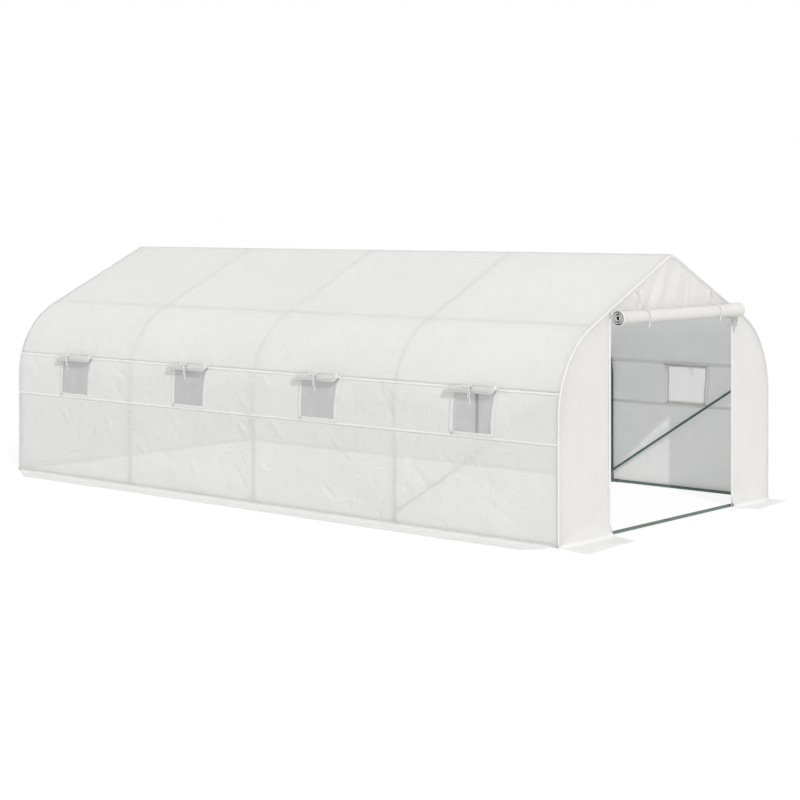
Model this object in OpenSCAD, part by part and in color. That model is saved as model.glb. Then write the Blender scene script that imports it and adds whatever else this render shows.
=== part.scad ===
// Walk-in polytunnel greenhouse: a white woven cover, with a roll-up door and
// meshed windows, over a frame of steel tube hoops, rails, purlins and braces.
// Millimetres, +Z up. The tunnel runs along Y, and its door is in the -Y end.
// The origin is on the ground, under the middle of the tunnel.

/* [Tunnel] */
// Width over the side walls
tunnel_w = 2920; // [2400:10:3600]
// Length over the two end panels
tunnel_l = 6000; // [4800:50:9000]
// Height to the top of the ridge
tunnel_h = 2012; // [1850:2:2500]
// Slope of the roof in degrees
roof_pitch = 25.5; // [20:0.5:32]
// Outer radius of the shoulder between wall and roof
shoulder_r = 680; // [450:10:800]
// Outer radius of the rounded ridge
ridge_r = 18; // [10:1:18]
// Number of bays between hoops
bays = 4; // [3:1:6]

/* [Cover] */
// Thickness of the cover sheets
cover_t = 4; // [3:0.5:5]
// Height of the seam over the lower wall
lower_seam_z = 710; // [500:10:780]
// Height of the seam under the roof sheet
upper_seam_z = 1060; // [960:10:1150]
// Width of the ground flaps
flap_w = 240; // [120:10:320]
// Length of the slanting cut at the back corners of the side flaps
flap_cut = 290; // [100:10:500]
// How far a front flap reaches past the corner
flap_corner = 40; // [10:5:80]
// How far a front flap stops short of the doorway
flap_setback = 50; // [10:5:120]
// Thickness of the piping along the two end hoops
piping_t = 6; // [3:1:10]
// Width of the piping
piping_w = 16; // [8:1:30]

/* [Door] */
// Width of the doorway
door_w = 1680; // [1200:10:1900]
// Height of the doorway
door_h = 1560; // [1300:10:1600]
// Diameter of the rolled-up door
door_roll_d = 104; // [60:2:140]
// How far the roll reaches past each side of the doorway
door_roll_over = 40; // [10:5:80]
// Height of the roll's centre over the top of the doorway
door_roll_rise = 5; // [2:1:20]
// Distance of each door tie from the middle
door_tie_x = 500; // [200:10:700]
// Width of a door tie
door_tie_w = 18; // [10:1:40]

/* [Windows] */
// Width of a window
window_w = 370; // [250:10:600]
// Height of the strip between a window and the seam on each side of it
window_margin = 15; // [8:1:40]
// Thickness of the insect mesh
mesh_t = 2; // [1:0.5:3]
// Diameter of a rolled-up window flap
flap_roll_d = 66; // [40:2:90]
// How far a roll reaches past each side of its window
flap_roll_over = 45; // [10:5:80]
// Height of a roll's centre below the upper seam
flap_roll_drop = 5; // [5:1:40]
// Width of a window tie
window_tie_w = 14; // [8:1:30]
// Thickness of all ties
tie_t = 2; // [1:0.5:3]

/* [Frame] */
// Diameter of the hoop, rail and purlin tubes
tube_d = 25; // [20:1:32]
// Diameter of the diagonal brace tubes
brace_d = 19; // [14:1:22]
// Wall of the fittings
fitting_wall = 2.3; // [1.5:0.1:4]
// Reach of a fitting's sockets from its centre
socket_l = 70; // [50:5:110]
// Height of the brace's lower end
brace_foot_z = 95; // [80:5:200]
// Height of the brace's upper end
brace_head_z = 1050; // [900:10:1100]
// Thickness of the flattened brace ends
brace_tab_t = 4; // [3:0.5:6]
// Length of the flattened brace ends
brace_tab_l = 50; // [35:5:90]

/* [Hidden] */

round_fn = 32;                                  // round tubes and rolls
arc_steps = 16;                                 // flats in one shoulder
ridge_steps = 4;                                // flats in the ridge
seat_gap = 0.3;                                 // between a curved face and what it rests on
tie_gap = 0.8;                                  // between a tie and the roll inside it
tube_gap = 0.2;                                 // between a tube and its socket
end_gap = 0.5;                                  // between a tube's end and its stop
cut_over = 10;                                  // how far a cut runs past what it cuts

// Cover outline, in the X-Z plane
half_w = tunnel_w / 2;
half_l = tunnel_l / 2;
bend_angle = 90 - roof_pitch;
apex_z = tunnel_h + ridge_r * (1 / cos(roof_pitch) - 1);
corner_z = apex_z - half_w * tan(roof_pitch);
shoulder_x = half_w - shoulder_r;
shoulder_z = corner_z - shoulder_r * tan(bend_angle / 2);

// Frame lines
fitting_d = tube_d + 2 * (tube_gap + fitting_wall);
fitting_bore = tube_d + 2 * tube_gap;
frame_inset = cover_t + seat_gap + fitting_d / 2;
post_x = half_w - frame_inset;
bend_r = shoulder_r - frame_inset;
rail_z = fitting_d / 2;
hub_z = apex_z - frame_inset / cos(roof_pitch);
eave_x = shoulder_x + bend_r * cos(bend_angle);
eave_z = shoulder_z + bend_r * sin(bend_angle);
rafter_run = eave_x / cos(roof_pitch);
eave_reach = fitting_d * 1.5;                   // eave fitting's centre, up the rafter
hub_core = fitting_bore / 2 + fitting_wall;     // from a fitting's centre to its socket's stop
hoop_end = half_l - frame_inset;
bay = 2 * hoop_end / bays;
hoop_ys = [for (i = [0 : bays]) -hoop_end + i * bay];
bay_ys = [for (i = [0 : bays - 1]) -hoop_end + (i + 0.5) * bay];

// Windows and rolls
window_z0 = lower_seam_z + window_margin;
window_z1 = upper_seam_z - window_margin;
flap_roll_z = upper_seam_z - flap_roll_drop;
flap_roll_reach = shoulder_r + seat_gap + flap_roll_d / 2;
flap_roll_rise = max(0, flap_roll_z - shoulder_z);  // up the shoulder, none on the plain wall
flap_roll_x = shoulder_x + sqrt(pow(flap_roll_reach, 2) - pow(flap_roll_rise, 2));
door_roll_y = -half_l - seat_gap - door_roll_d / 2;
door_roll_z = door_h + door_roll_rise;

// Braces
brace_inset = tube_d / 2 + seat_gap + brace_tab_t / 2;
brace_tab_w = brace_d + 3;
brace_lean = asin(max(0, brace_head_z - shoulder_z) / bend_r);
brace_head_inset = tube_d / 2 / cos(brace_lean) + brace_tab_w * tan(brace_lean) + seat_gap + brace_tab_t / 2;
brace_head_x = shoulder_x + bend_r * cos(brace_lean) - brace_head_inset;

white_sheet = [0.93, 0.93, 0.92];
white_tape = [0.97, 0.97, 0.96];
grey_mesh = [0.76, 0.77, 0.76];
green_steel = [0.16, 0.27, 0.23];
dark_fitting = [0.13, 0.20, 0.18];

// Outline of the cover, moved inward by inset, with its foot at foot_z
function shoulder_arc(inset) =
    [for (i = [0 : arc_steps])
        let (a = bend_angle * i / arc_steps)
        [shoulder_x + (shoulder_r - inset) * cos(a), shoulder_z + (shoulder_r - inset) * sin(a)]];
function ridge_arc(inset) =
    [for (i = [0 : ridge_steps])
        let (a = bend_angle + 2 * roof_pitch * i / ridge_steps)
        [(ridge_r - inset) * cos(a), tunnel_h - ridge_r + (ridge_r - inset) * sin(a)]];
function flipped(points) = [for (i = [len(points) - 1 : -1 : 0]) [-points[i][0], points[i][1]]];
function outline(inset, foot_z) =
    concat([[half_w - inset, foot_z]], shoulder_arc(inset), ridge_arc(inset),
           flipped(shoulder_arc(inset)), [[inset - half_w, foot_z]]);

// Puts a shape drawn in the X-Z plane at y0 to y1 along the tunnel
module along_tunnel(y0, y1) {
    translate([0, y1, 0]) rotate([90, 0, 0]) linear_extrude(y1 - y0) children();
}

// The right-hand piece as it is, or mirrored to the left
module on_side(left) {
    mirror([left ? 1 : 0, 0, 0]) children();
}

// The front piece as it is, or mirrored to the back
module on_end(back) {
    mirror([0, back ? 1 : 0, 0]) children();
}

// Layer of the cover between two insets
module shell_layer(inset0, inset1) {
    difference() {
        polygon(outline(inset0, 0));
        polygon(outline(inset1, -cut_over));
    }
}

// What of a drawn layer lies right of the middle, between two heights
module right_slice(z0, z1) {
    intersection() {
        children();
        translate([0, z0]) square([tunnel_w, z1 - z0]);
    }
}

module window_cuts() {
    for (y = bay_ys)
        translate([half_w / 2, y - window_w / 2, window_z0])
            cube([half_w, window_w, window_z1 - window_z0]);
}

// Straight tube between two points
module tube_between(p, q, d) {
    v = q - p;
    l = norm(v);
    translate(p) rotate([0, acos(v[2] / l), atan2(v[1], v[0])]) cylinder(d = d, h = l, $fn = round_fn);
}

// Frame

module posts(left) {
    color(green_steel) on_side(left)
        for (y = hoop_ys) translate([post_x, y, 0]) cylinder(d = tube_d, h = shoulder_z, $fn = round_fn);
}

module bends(left) {
    color(green_steel) on_side(left)
        for (y = hoop_ys)
            translate([shoulder_x, y, shoulder_z]) rotate([90, 0, 0])
                rotate_extrude(angle = bend_angle, $fn = round_fn)
                    translate([bend_r, 0]) circle(d = tube_d, $fn = round_fn);
}

module rafters(left) {
    color(green_steel) on_side(left)
        for (y = hoop_ys)
            translate([eave_x, y, eave_z]) rotate([0, -bend_angle, 0])
                cylinder(d = tube_d, h = rafter_run - hub_core - end_gap, $fn = round_fn);
}

// One length of tube in each bay, stopped short of the hoops by core at each end
module bay_tubes(x, z, core) {
    for (y = bay_ys)
        tube_between([x, y - bay / 2 + core + end_gap, z], [x, y + bay / 2 - core - end_gap, z], tube_d);
}

module ridge_purlin() {
    color(green_steel) bay_tubes(0, hub_z, hub_core);
}

module eave_purlin(left) {
    color(green_steel) on_side(left)
        bay_tubes(eave_x - eave_reach * cos(roof_pitch), eave_z + eave_reach * sin(roof_pitch), hub_core);
}

module base_rail(left) {
    color(green_steel) on_side(left) bay_tubes(post_x, rail_z, hub_core);
}

module end_rail(back) {
    rail_end = post_x - hub_core - end_gap;
    color(green_steel) on_end(back)
        tube_between([-rail_end, -hoop_end, rail_z], [rail_end, -hoop_end, rail_z], tube_d);
}

// Diagonal from the foot of the next hoop up to the end hoop, with flattened ends
module brace() {
    foot = [post_x - brace_inset, -hoop_end + bay, brace_foot_z];
    head = [brace_head_x, -hoop_end, brace_head_z];
    v = head - foot;
    l = norm(v);
    tab = brace_tab_l;
    translate(foot) rotate([0, acos(v[2] / l), atan2(v[1], v[0])]) {
        translate([0, 0, tab * 0.7]) cylinder(d = brace_d, h = l - 1.4 * tab, $fn = round_fn);
        for (z = [-brace_tab_w / 2, l + brace_tab_w / 2 - tab])
            translate([-brace_tab_w / 2, -brace_tab_t / 2, z]) cube([brace_tab_w, brace_tab_t, tab]);
    }
}

module braces(left) {
    color(green_steel) on_side(left) brace();
}

// Socket along Y from y0 to y1, and its bore from the stop onwards
module y_sleeve(y0, y1) {
    tube_between([0, y0, 0], [0, y1, 0], fitting_d);
}

module y_bores(back_side, front_side) {
    if (back_side) tube_between([0, hub_core, 0], [0, socket_l + cut_over, 0], fitting_bore);
    if (front_side) tube_between([0, -hub_core, 0], [0, -socket_l - cut_over, 0], fitting_bore);
}

// Reach of the socket towards the front and towards the back, at hoop i
function front_reach(i) = i == 0 ? fitting_d / 2 : socket_l;
function back_reach(i) = i == bays ? fitting_d / 2 : socket_l;

module ridge_fitting(i) {
    difference() {
        union() {
            y_sleeve(-front_reach(i), back_reach(i));
            for (side = [-1, 1])
                rotate([0, side * (90 + roof_pitch), 0]) cylinder(d = fitting_d, h = socket_l, $fn = round_fn);
        }
        y_bores(i < bays, i > 0);
        for (side = [-1, 1])
            rotate([0, side * (90 + roof_pitch), 0]) translate([0, 0, hub_core])
                cylinder(d = fitting_bore, h = socket_l, $fn = round_fn);
    }
}

module ridge_fittings() {
    color(dark_fitting)
        for (i = [0 : bays]) translate([0, hoop_ys[i], hub_z]) ridge_fitting(i);
}

// Sleeve round the lower end of a rafter, with sockets for the eave purlin
module eave_fitting(i) {
    difference() {
        union() {
            y_sleeve(-front_reach(i), back_reach(i));
            rotate([0, -bend_angle, 0]) translate([0, 0, -eave_reach])
                cylinder(d = fitting_d, h = 2 * eave_reach, $fn = round_fn);
        }
        y_bores(i < bays, i > 0);
        rotate([0, -bend_angle, 0]) translate([0, 0, -eave_reach - cut_over])
            cylinder(d = fitting_bore, h = 2 * (eave_reach + cut_over), $fn = round_fn);
    }
}

module eave_fittings(left) {
    color(dark_fitting) on_side(left)
        for (i = [0 : bays])
            translate([eave_x - eave_reach * cos(roof_pitch), hoop_ys[i], eave_z + eave_reach * sin(roof_pitch)])
                eave_fitting(i);
}

// Sleeve round the foot of a post, with sockets for the rails that meet there
module foot_fitting(i) {
    corner = i == 0 || i == bays;
    difference() {
        union() {
            y_sleeve(-front_reach(i), back_reach(i));
            translate([0, 0, -rail_z]) cylinder(d = fitting_d, h = socket_l, $fn = round_fn);
            if (corner) tube_between([0, 0, 0], [-socket_l, 0, 0], fitting_d);
        }
        y_bores(i < bays, i > 0);
        translate([0, 0, -rail_z - cut_over])
            cylinder(d = fitting_bore, h = socket_l + 2 * cut_over, $fn = round_fn);
        if (corner) tube_between([-hub_core, 0, 0], [-socket_l - cut_over, 0, 0], fitting_bore);
    }
}

module foot_fittings(left) {
    color(dark_fitting) on_side(left)
        for (i = [0 : bays]) translate([post_x, hoop_ys[i], rail_z]) foot_fitting(i);
}

// Cover

module roof_cover() {
    color(white_sheet) along_tunnel(cover_t - half_l, half_l - cover_t) difference() {
        shell_layer(0, cover_t);
        translate([-tunnel_w, -cut_over]) square([2 * tunnel_w, upper_seam_z + cut_over]);
    }
}

module window_band(left) {
    color(white_sheet) on_side(left) difference() {
        along_tunnel(cover_t - half_l, half_l - cover_t)
            right_slice(lower_seam_z, upper_seam_z) shell_layer(0, cover_t);
        window_cuts();
    }
}

module lower_wall(left) {
    color(white_sheet) on_side(left) translate([half_w - cover_t, cover_t - half_l, 0])
        cube([cover_t, tunnel_l - 2 * cover_t, lower_seam_z]);
}

module window_meshes(left) {
    mesh_inset = (cover_t - mesh_t) / 2;
    color(grey_mesh) on_side(left)
        for (y = bay_ys)
            along_tunnel(y - window_w / 2, y + window_w / 2)
                right_slice(window_z0, window_z1) shell_layer(mesh_inset, mesh_inset + mesh_t);
}

module window_rolls(left) {
    roll_l = window_w + 2 * flap_roll_over;
    color(white_sheet) on_side(left)
        for (y = bay_ys)
            tube_between([flap_roll_x, y - roll_l / 2, flap_roll_z], [flap_roll_x, y + roll_l / 2, flap_roll_z],
                         flap_roll_d);
}

// Band round a roll, open where the roll lies against the cover
module tie_band(roll_d) {
    difference() {
        circle(d = roll_d + 2 * (tie_gap + tie_t), $fn = round_fn);
        circle(d = roll_d + 2 * tie_gap, $fn = round_fn);
    }
}

module window_ties(left) {
    color(white_tape) on_side(left)
        for (y = bay_ys)
            along_tunnel(y - window_tie_w / 2, y + window_tie_w / 2) difference() {
                translate([flap_roll_x, flap_roll_z]) tie_band(flap_roll_d);
                polygon(outline(0, 0));
            }
}

// End sheet, drawn in the X-Z plane
module end_sheet() {
    polygon(outline(0, 0));
}

module front_panel(left) {
    color(white_sheet) on_side(left) along_tunnel(-half_l, cover_t - half_l) intersection() {
        end_sheet();
        translate([door_w / 2, 0]) square([tunnel_w, tunnel_h]);
    }
}

module front_gable() {
    color(white_sheet) along_tunnel(-half_l, cover_t - half_l) intersection() {
        end_sheet();
        translate([-door_w / 2, door_h]) square([door_w, tunnel_h]);
    }
}

module back_panel() {
    color(white_sheet) along_tunnel(half_l - cover_t, half_l) end_sheet();
}

module door_roll() {
    roll_end = door_w / 2 + door_roll_over;
    color(white_sheet)
        tube_between([-roll_end, door_roll_y, door_roll_z], [roll_end, door_roll_y, door_roll_z], door_roll_d);
}

module door_ties() {
    color(white_tape)
        for (side = [-1, 1])
            difference() {
                translate([side * door_tie_x - door_tie_w / 2, door_roll_y, door_roll_z]) rotate([90, 0, 90])
                    linear_extrude(door_tie_w) tie_band(door_roll_d);
                translate([-half_w, -half_l, 0]) cube([tunnel_w, door_roll_d, tunnel_h]);
            }
}

module piping(back) {
    color(white_tape) on_end(back)
        along_tunnel(-half_l - piping_t / 2, piping_w - half_l - piping_t / 2) difference() {
            shell_layer(-piping_t, 0);
            translate([-tunnel_w, -cut_over]) square([2 * tunnel_w, cover_t + cut_over]);
        }
}

// Ground flaps

module side_ground_flap(left) {
    color(white_sheet) on_side(left) linear_extrude(cover_t)
        polygon([[half_w, -half_l], [half_w + flap_w, -half_l], [half_w + flap_w, half_l - flap_cut],
                 [half_w + piping_t, half_l], [half_w, half_l]]);
}

module front_ground_flap(left) {
    flap_l = half_w + flap_corner - door_w / 2 - flap_setback;
    color(white_sheet) on_side(left) translate([door_w / 2 + flap_setback, -half_l - flap_w, 0])
        cube([flap_l, flap_w, cover_t]);
}

module back_ground_flap() {
    color(white_sheet) linear_extrude(cover_t)
        polygon([[-half_w, half_l], [half_w, half_l], [half_w - flap_w, half_l + flap_w],
                 [flap_w - half_w, half_l + flap_w]]);
}

posts(true);  // left_posts
posts(false);  // right_posts
bends(true);  // left_bends
bends(false);  // right_bends
rafters(true);  // left_rafters
rafters(false);  // right_rafters
ridge_purlin();
eave_purlin(true);  // left_eave_purlin
eave_purlin(false);  // right_eave_purlin
base_rail(true);  // left_base_rail
base_rail(false);  // right_base_rail
end_rail(false);  // front_base_rail
end_rail(true);  // back_base_rail
braces(true);  // left_braces
braces(false);  // right_braces
ridge_fittings();
eave_fittings(true);  // left_eave_fittings
eave_fittings(false);  // right_eave_fittings
foot_fittings(true);  // left_foot_fittings
foot_fittings(false);  // right_foot_fittings
roof_cover();
window_band(true);  // left_window_band
window_band(false);  // right_window_band
lower_wall(true);  // left_lower_wall
lower_wall(false);  // right_lower_wall
front_panel(true);  // front_left_panel
front_panel(false);  // front_right_panel
front_gable();
back_panel();
side_ground_flap(true);  // left_ground_flap
side_ground_flap(false);  // right_ground_flap
front_ground_flap(true);  // front_left_ground_flap
front_ground_flap(false);  // front_right_ground_flap
back_ground_flap();
window_meshes(true);  // left_window_meshes
window_meshes(false);  // right_window_meshes
window_rolls(true);  // left_window_rolls
window_rolls(false);  // right_window_rolls
window_ties(true);  // left_window_ties
window_ties(false);  // right_window_ties
door_roll();
door_ties();
piping(false);  // front_piping
piping(true);  // back_piping
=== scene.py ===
"""Looks of a walk-in polytunnel greenhouse: its cover, tapes, windows, rolled-up door and frame finishes."""
import logging
import random
from dataclasses import dataclass, field
from enum import Enum
from math import acos, asin, cos, dist, exp, pi, radians, sin, sqrt, tan
from typing import Any, Callable, NamedTuple, Sequence

import bmesh
import bpy
from mathutils import Matrix, Vector, noise


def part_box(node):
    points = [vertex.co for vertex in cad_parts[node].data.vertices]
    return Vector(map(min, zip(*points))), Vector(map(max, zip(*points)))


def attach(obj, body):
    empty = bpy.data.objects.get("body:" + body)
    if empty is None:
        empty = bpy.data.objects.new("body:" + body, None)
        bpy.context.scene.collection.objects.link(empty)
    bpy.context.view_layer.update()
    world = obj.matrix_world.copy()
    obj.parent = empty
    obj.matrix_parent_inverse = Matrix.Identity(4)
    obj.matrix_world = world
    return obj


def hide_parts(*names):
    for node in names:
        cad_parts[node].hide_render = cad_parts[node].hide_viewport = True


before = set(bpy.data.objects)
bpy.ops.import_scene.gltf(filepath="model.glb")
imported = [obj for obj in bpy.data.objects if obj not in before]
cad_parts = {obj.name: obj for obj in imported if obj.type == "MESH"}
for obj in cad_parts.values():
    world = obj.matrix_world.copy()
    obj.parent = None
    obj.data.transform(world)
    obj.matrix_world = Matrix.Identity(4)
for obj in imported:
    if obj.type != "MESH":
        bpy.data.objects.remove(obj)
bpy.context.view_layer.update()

LOG = logging.getLogger("polytunnel")
BODY = "root"
FLAT_MAP = "flat_cloth"
QUARTER_TURN, HALF_TURN, FULL_TURN = pi / 2, pi, 2 * pi
ACROSS, ALONG, UP = Vector((1.0, 0.0, 0.0)), Vector((0.0, 1.0, 0.0)), Vector((0.0, 0.0, 1.0))
SLANT = Vector((0.613, 1.0, 0.347))     # a way along which no two faces of a piece are level
WHITE = (1.0, 1.0, 1.0, 1.0)
SHEET_T = 0.0012        # thickness of the cover's sheet
SEAM_GAP = 0.007        # how far a panel stops short of a seam's middle, under its tape
END_GAP = 0.001         # how far the long sheets stop short of the ends
ROOF_FOLD_LAP = 0.5     # how far below the eaves the roof's folds still start
NEARLY = 1e-6

Pair = tuple[float, float]
Colour = tuple[float, float, float]
Place = Callable[[float, float], Vector]
Centre = Callable[[float], tuple[Vector, float]]
Socket = bpy.types.NodeSocket
Material = bpy.types.Material
Piece = bpy.types.Object
Mesh = bmesh.types.BMesh


class Side(Enum):
    """A long side of the tunnel, seen by someone who walks in at the door."""

    LEFT = "left"
    RIGHT = "right"

    @property
    def sign(self) -> float:
        """Sign of X on this side."""
        return -1.0 if self is Side.LEFT else 1.0

    def of(self, part: str) -> str:
        """Name of this side's node or piece."""
        return f"{self.value}_{part}"


class End(Enum):
    """An end of the tunnel."""

    FRONT = "front"
    BACK = "back"

    @property
    def sign(self) -> float:
        """Sign of Y at this end."""
        return -1.0 if self is End.FRONT else 1.0


def clamp(value: float, low: float = 0.0, high: float = 1.0) -> float:
    """Value, held between low and high."""
    return max(low, min(high, value))


def ease(value: float) -> float:
    """Smooth step from 0 to 1 as value goes from 0 to 1."""
    t = clamp(value)
    return t * t * (3 - 2 * t)


def mix(start: float, stop: float, share: float) -> float:
    """Value a share of the way from start to stop."""
    return start + (stop - start) * share


def bell(value: float, width: float) -> float:
    """1 where value is 0, and fading to 0 over about twice the width."""
    return exp(-((value / width) ** 2))


def ripple(a: float, b: float, seed: float, scale: float) -> float:
    """Smooth repeatable noise, about -1 to 1, at a point in metres; seed is a slice and scale a size in metres."""
    return noise.noise(Vector((a / scale, b / scale, seed)))


# ---- Finishes ----


class Graph:
    """Adds and joins the shader nodes of one material, or of the world."""

    def __init__(self, owner: Material | bpy.types.World) -> None:
        """Empties the owner's nodes."""
        owner.use_nodes = True
        self.owner = owner
        self.tree = owner.node_tree
        self.tree.nodes.clear()

    def node(self, kind: str, inputs: dict | None = None, **settings) -> bpy.types.Node:
        """Adds one node.

        Args:
            kind: Node type without its ShaderNode prefix.
            inputs: Socket name or number to a constant or to another node's output.
            settings: Properties of the node.

        Returns:
            The node.
        """
        made = self.tree.nodes.new("ShaderNode" + kind)
        for key, value in settings.items():
            setattr(made, key, value)
        for key, value in (inputs or {}).items():
            if isinstance(value, Socket):
                self.tree.links.new(value, made.inputs[key])
            else:
                made.inputs[key].default_value = value
        return made

    def math(self, operation: str, *values: float | Socket) -> Socket:
        """Output of a Math node."""
        return self.node("Math", dict(enumerate(values)), operation=operation).outputs[0]

    def layers(self, *parts: tuple[Socket, float]) -> Socket:
        """Sum of sockets, each times its own factor, such as a height in metres."""
        total = 0.0
        for socket, factor in parts:
            total = self.math("MULTIPLY_ADD", socket, factor, total)
        return total

    def ramp(self, value: Socket, low: float, high: float, start: float = 0.0, stop: float = 1.0) -> Socket:
        """Value mapped smoothly from low..high to start..stop."""
        inputs = {"Value": value, "From Min": low, "From Max": high, "To Min": start, "To Max": stop}
        return self.node("MapRange", inputs, interpolation_type="SMOOTHSTEP").outputs["Result"]

    def speckle(self, vector: Socket, scale: float, detail: float = 3.0, distortion: float = 0.0) -> Socket:
        """Noise value between 0 and 1, of a scale per metre."""
        inputs = {"Vector": vector, "Scale": scale, "Detail": detail, "Distortion": distortion}
        return self.node("TexNoise", inputs).outputs[0]

    def blend(self, share: float | Socket, first: Colour | Socket, second: Colour | Socket) -> Socket:
        """Mix of two colours, by the share of the second."""
        inputs = {6: first, 7: second}
        inputs = {key: value if isinstance(value, Socket) else (*value, 1.0) for key, value in inputs.items()}
        return self.node("Mix", {0: share} | inputs, data_type="RGBA").outputs[2]

    def bump(self, height: Socket, distance: float = 1.0, strength: float = 1.0) -> Socket:
        """Normal that follows a height socket, whose 1 is a distance in metres."""
        inputs = {"Height": height, "Distance": distance, "Strength": strength}
        return self.node("Bump", inputs).outputs["Normal"]

    def face(self, colour: Socket, rough: Socket, normal: Socket, others: dict | None = None) -> Socket:
        """Principled surface, with other sockets' constants by name."""
        inputs = {"Base Color": colour, "Roughness": rough, "Normal": normal} | (others or {})
        return self.node("BsdfPrincipled", inputs).outputs[0]

    def plain(self, kind: str, colour: Colour, others: dict | None = None) -> Socket:
        """Shader of a node type that has one colour, with other sockets by name."""
        return self.node(kind, {"Color": (*colour, 1.0)} | (others or {})).outputs[0]

    def mixed(self, share: float | Socket, first: Socket, second: Socket) -> Socket:
        """Mix of two shaders, by the share of the second."""
        return self.node("MixShader", {0: share, 1: first, 2: second}).outputs[0]

    def rays(self, *kinds: str) -> Socket:
        """1 for rays of these kinds, in Light Path's words, and 0 for the others."""
        path = self.node("LightPath").outputs
        found = path[kinds[0]]
        for kind in kinds[1:]:
            found = self.math("MAXIMUM", found, path[kind])
        return found

    def flat_cloth(self) -> tuple[Socket, Socket, Socket]:
        """Flat cut's coordinates: the vector, then its length and its width, in metres."""
        flat = self.node("UVMap", uv_map=FLAT_MAP).outputs["UV"]
        parts = self.node("SeparateXYZ", {"Vector": flat})
        return flat, parts.outputs["X"], parts.outputs["Y"]

    def object_space(self) -> Socket:
        """Coordinates in the row frame, in metres."""
        return self.node("TexCoord").outputs["Object"]

    def height(self) -> Socket:
        """Height above the ground, in metres."""
        return self.node("SeparateXYZ", {"Vector": self.object_space()}).outputs["Z"]

    def lines(self, along: Socket, pitch: float, width: float) -> Socket:
        """Mask that is 1 on evenly spaced threads across a coordinate, and 0 between them."""
        away = self.math("PINGPONG", along, pitch / 2)
        return self.ramp(away, 0.2 * width, 0.7 * width, 1.0, 0.0)


@dataclass(frozen=True)
class Finish:
    """A finish that builds one material.

    Attributes:
        name: The material's name.
        colour: Its main colour.
    """

    name: str
    colour: Colour

    def shade(self, share: float) -> Colour:
        """The main colour times a share."""
        return tuple(min(1.0, share * c) for c in self.colour)

    def shader(self, g: Graph) -> Socket:
        """Builds the surface's nodes, which each finish does in its own way."""
        raise NotImplementedError

    def material(self) -> Material:
        """Builds the material."""
        g = Graph(bpy.data.materials.new(self.name))
        g.node("OutputMaterial", {"Surface": self.shader(g)})
        return g.owner


@dataclass(frozen=True)
class CoverSheetFinish(Finish):
    """White woven sheet with a reinforcing grid, a little see-through and crumpled from its packing.

    Attributes:
        laid: Paler colour painted on the sheet where it lies on the ground, as painted light for the extra light
            that the flat flap catches there.
        glow: Share of light that spreads through one face of the sheet.
        clear: Share of what is behind that shows through one face of the sheet.
        crumple: Height of the softest creases.
        grid_pitch: Distance between reinforcing threads.
        weave_pitch: Distance between two tapes of the weave.
    """

    name: str = "cover_sheet"
    colour: Colour = (0.930, 0.913, 0.888)
    laid: Colour = (0.965, 0.955, 0.928)
    glow: float = 0.175
    clear: float = 0.30
    crumple: float = 0.012
    grid_pitch: float = 0.024
    weave_pitch: float = 0.0042

    def relief(self, g: Graph, grid: Socket, length: Socket, width: Socket) -> Socket:
        """Normal of the weave, the grid and the soft waves."""
        space = g.object_space()
        turns = FULL_TURN / self.weave_pitch
        weave = g.math("MULTIPLY", *(g.math("SINE", g.math("MULTIPLY", way, turns)) for way in (length, width)))
        soft = g.speckle(space, 2.6, 2.0, 0.8)
        waves = g.math("ABSOLUTE", g.math("SUBTRACT", g.speckle(space, 5.5, 2.0, 1.4), 0.5))
        fine = g.speckle(space, 34.0, 4.0, 0.4)
        return g.bump(g.layers((soft, self.crumple), (waves, -0.9 * self.crumple), (fine, 0.0006),
                               (grid, 0.00009), (weave, 0.00006)))

    def shader(self, g: Graph) -> Socket:
        """Builds the sheet's nodes."""
        flat, length, width = g.flat_cloth()
        ribs = g.lines(width, self.grid_pitch / 2, 0.0034)
        grid = g.math("MAXIMUM", ribs, g.math("MULTIPLY", g.lines(length, self.grid_pitch, 0.0026), 0.45))
        normal = self.relief(g, grid, length, width)
        mottle = g.ramp(g.speckle(flat, 1.7, 5.0), 0.35, 0.7)
        colour = g.blend(mottle, self.colour, self.shade(0.972))
        colour = g.blend(g.math("MULTIPLY", grid, 0.4), colour, self.shade(1.02))
        # Painted light: the sheet is painted paler near the ground, where the flap lies and catches more light.
        colour = g.blend(g.ramp(g.height(), 0.006, 0.035, 1.0, 0.0), colour, self.laid)
        face = g.face(colour, g.ramp(mottle, 0.0, 1.0, 0.44, 0.56), normal, {"Specular IOR Level": 0.35})
        through = g.plain("BsdfTranslucent", (0.93, 0.955, 0.985), {"Normal": normal})
        cloth = g.mixed(self.glow / (1 - self.clear), face, through)
        open_share = g.math("MULTIPLY_ADD", grid, -0.10 * self.clear, self.clear)
        return g.mixed(open_share, cloth, g.plain("BsdfTransparent", (0.985, 1.0, 0.995)))


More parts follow.
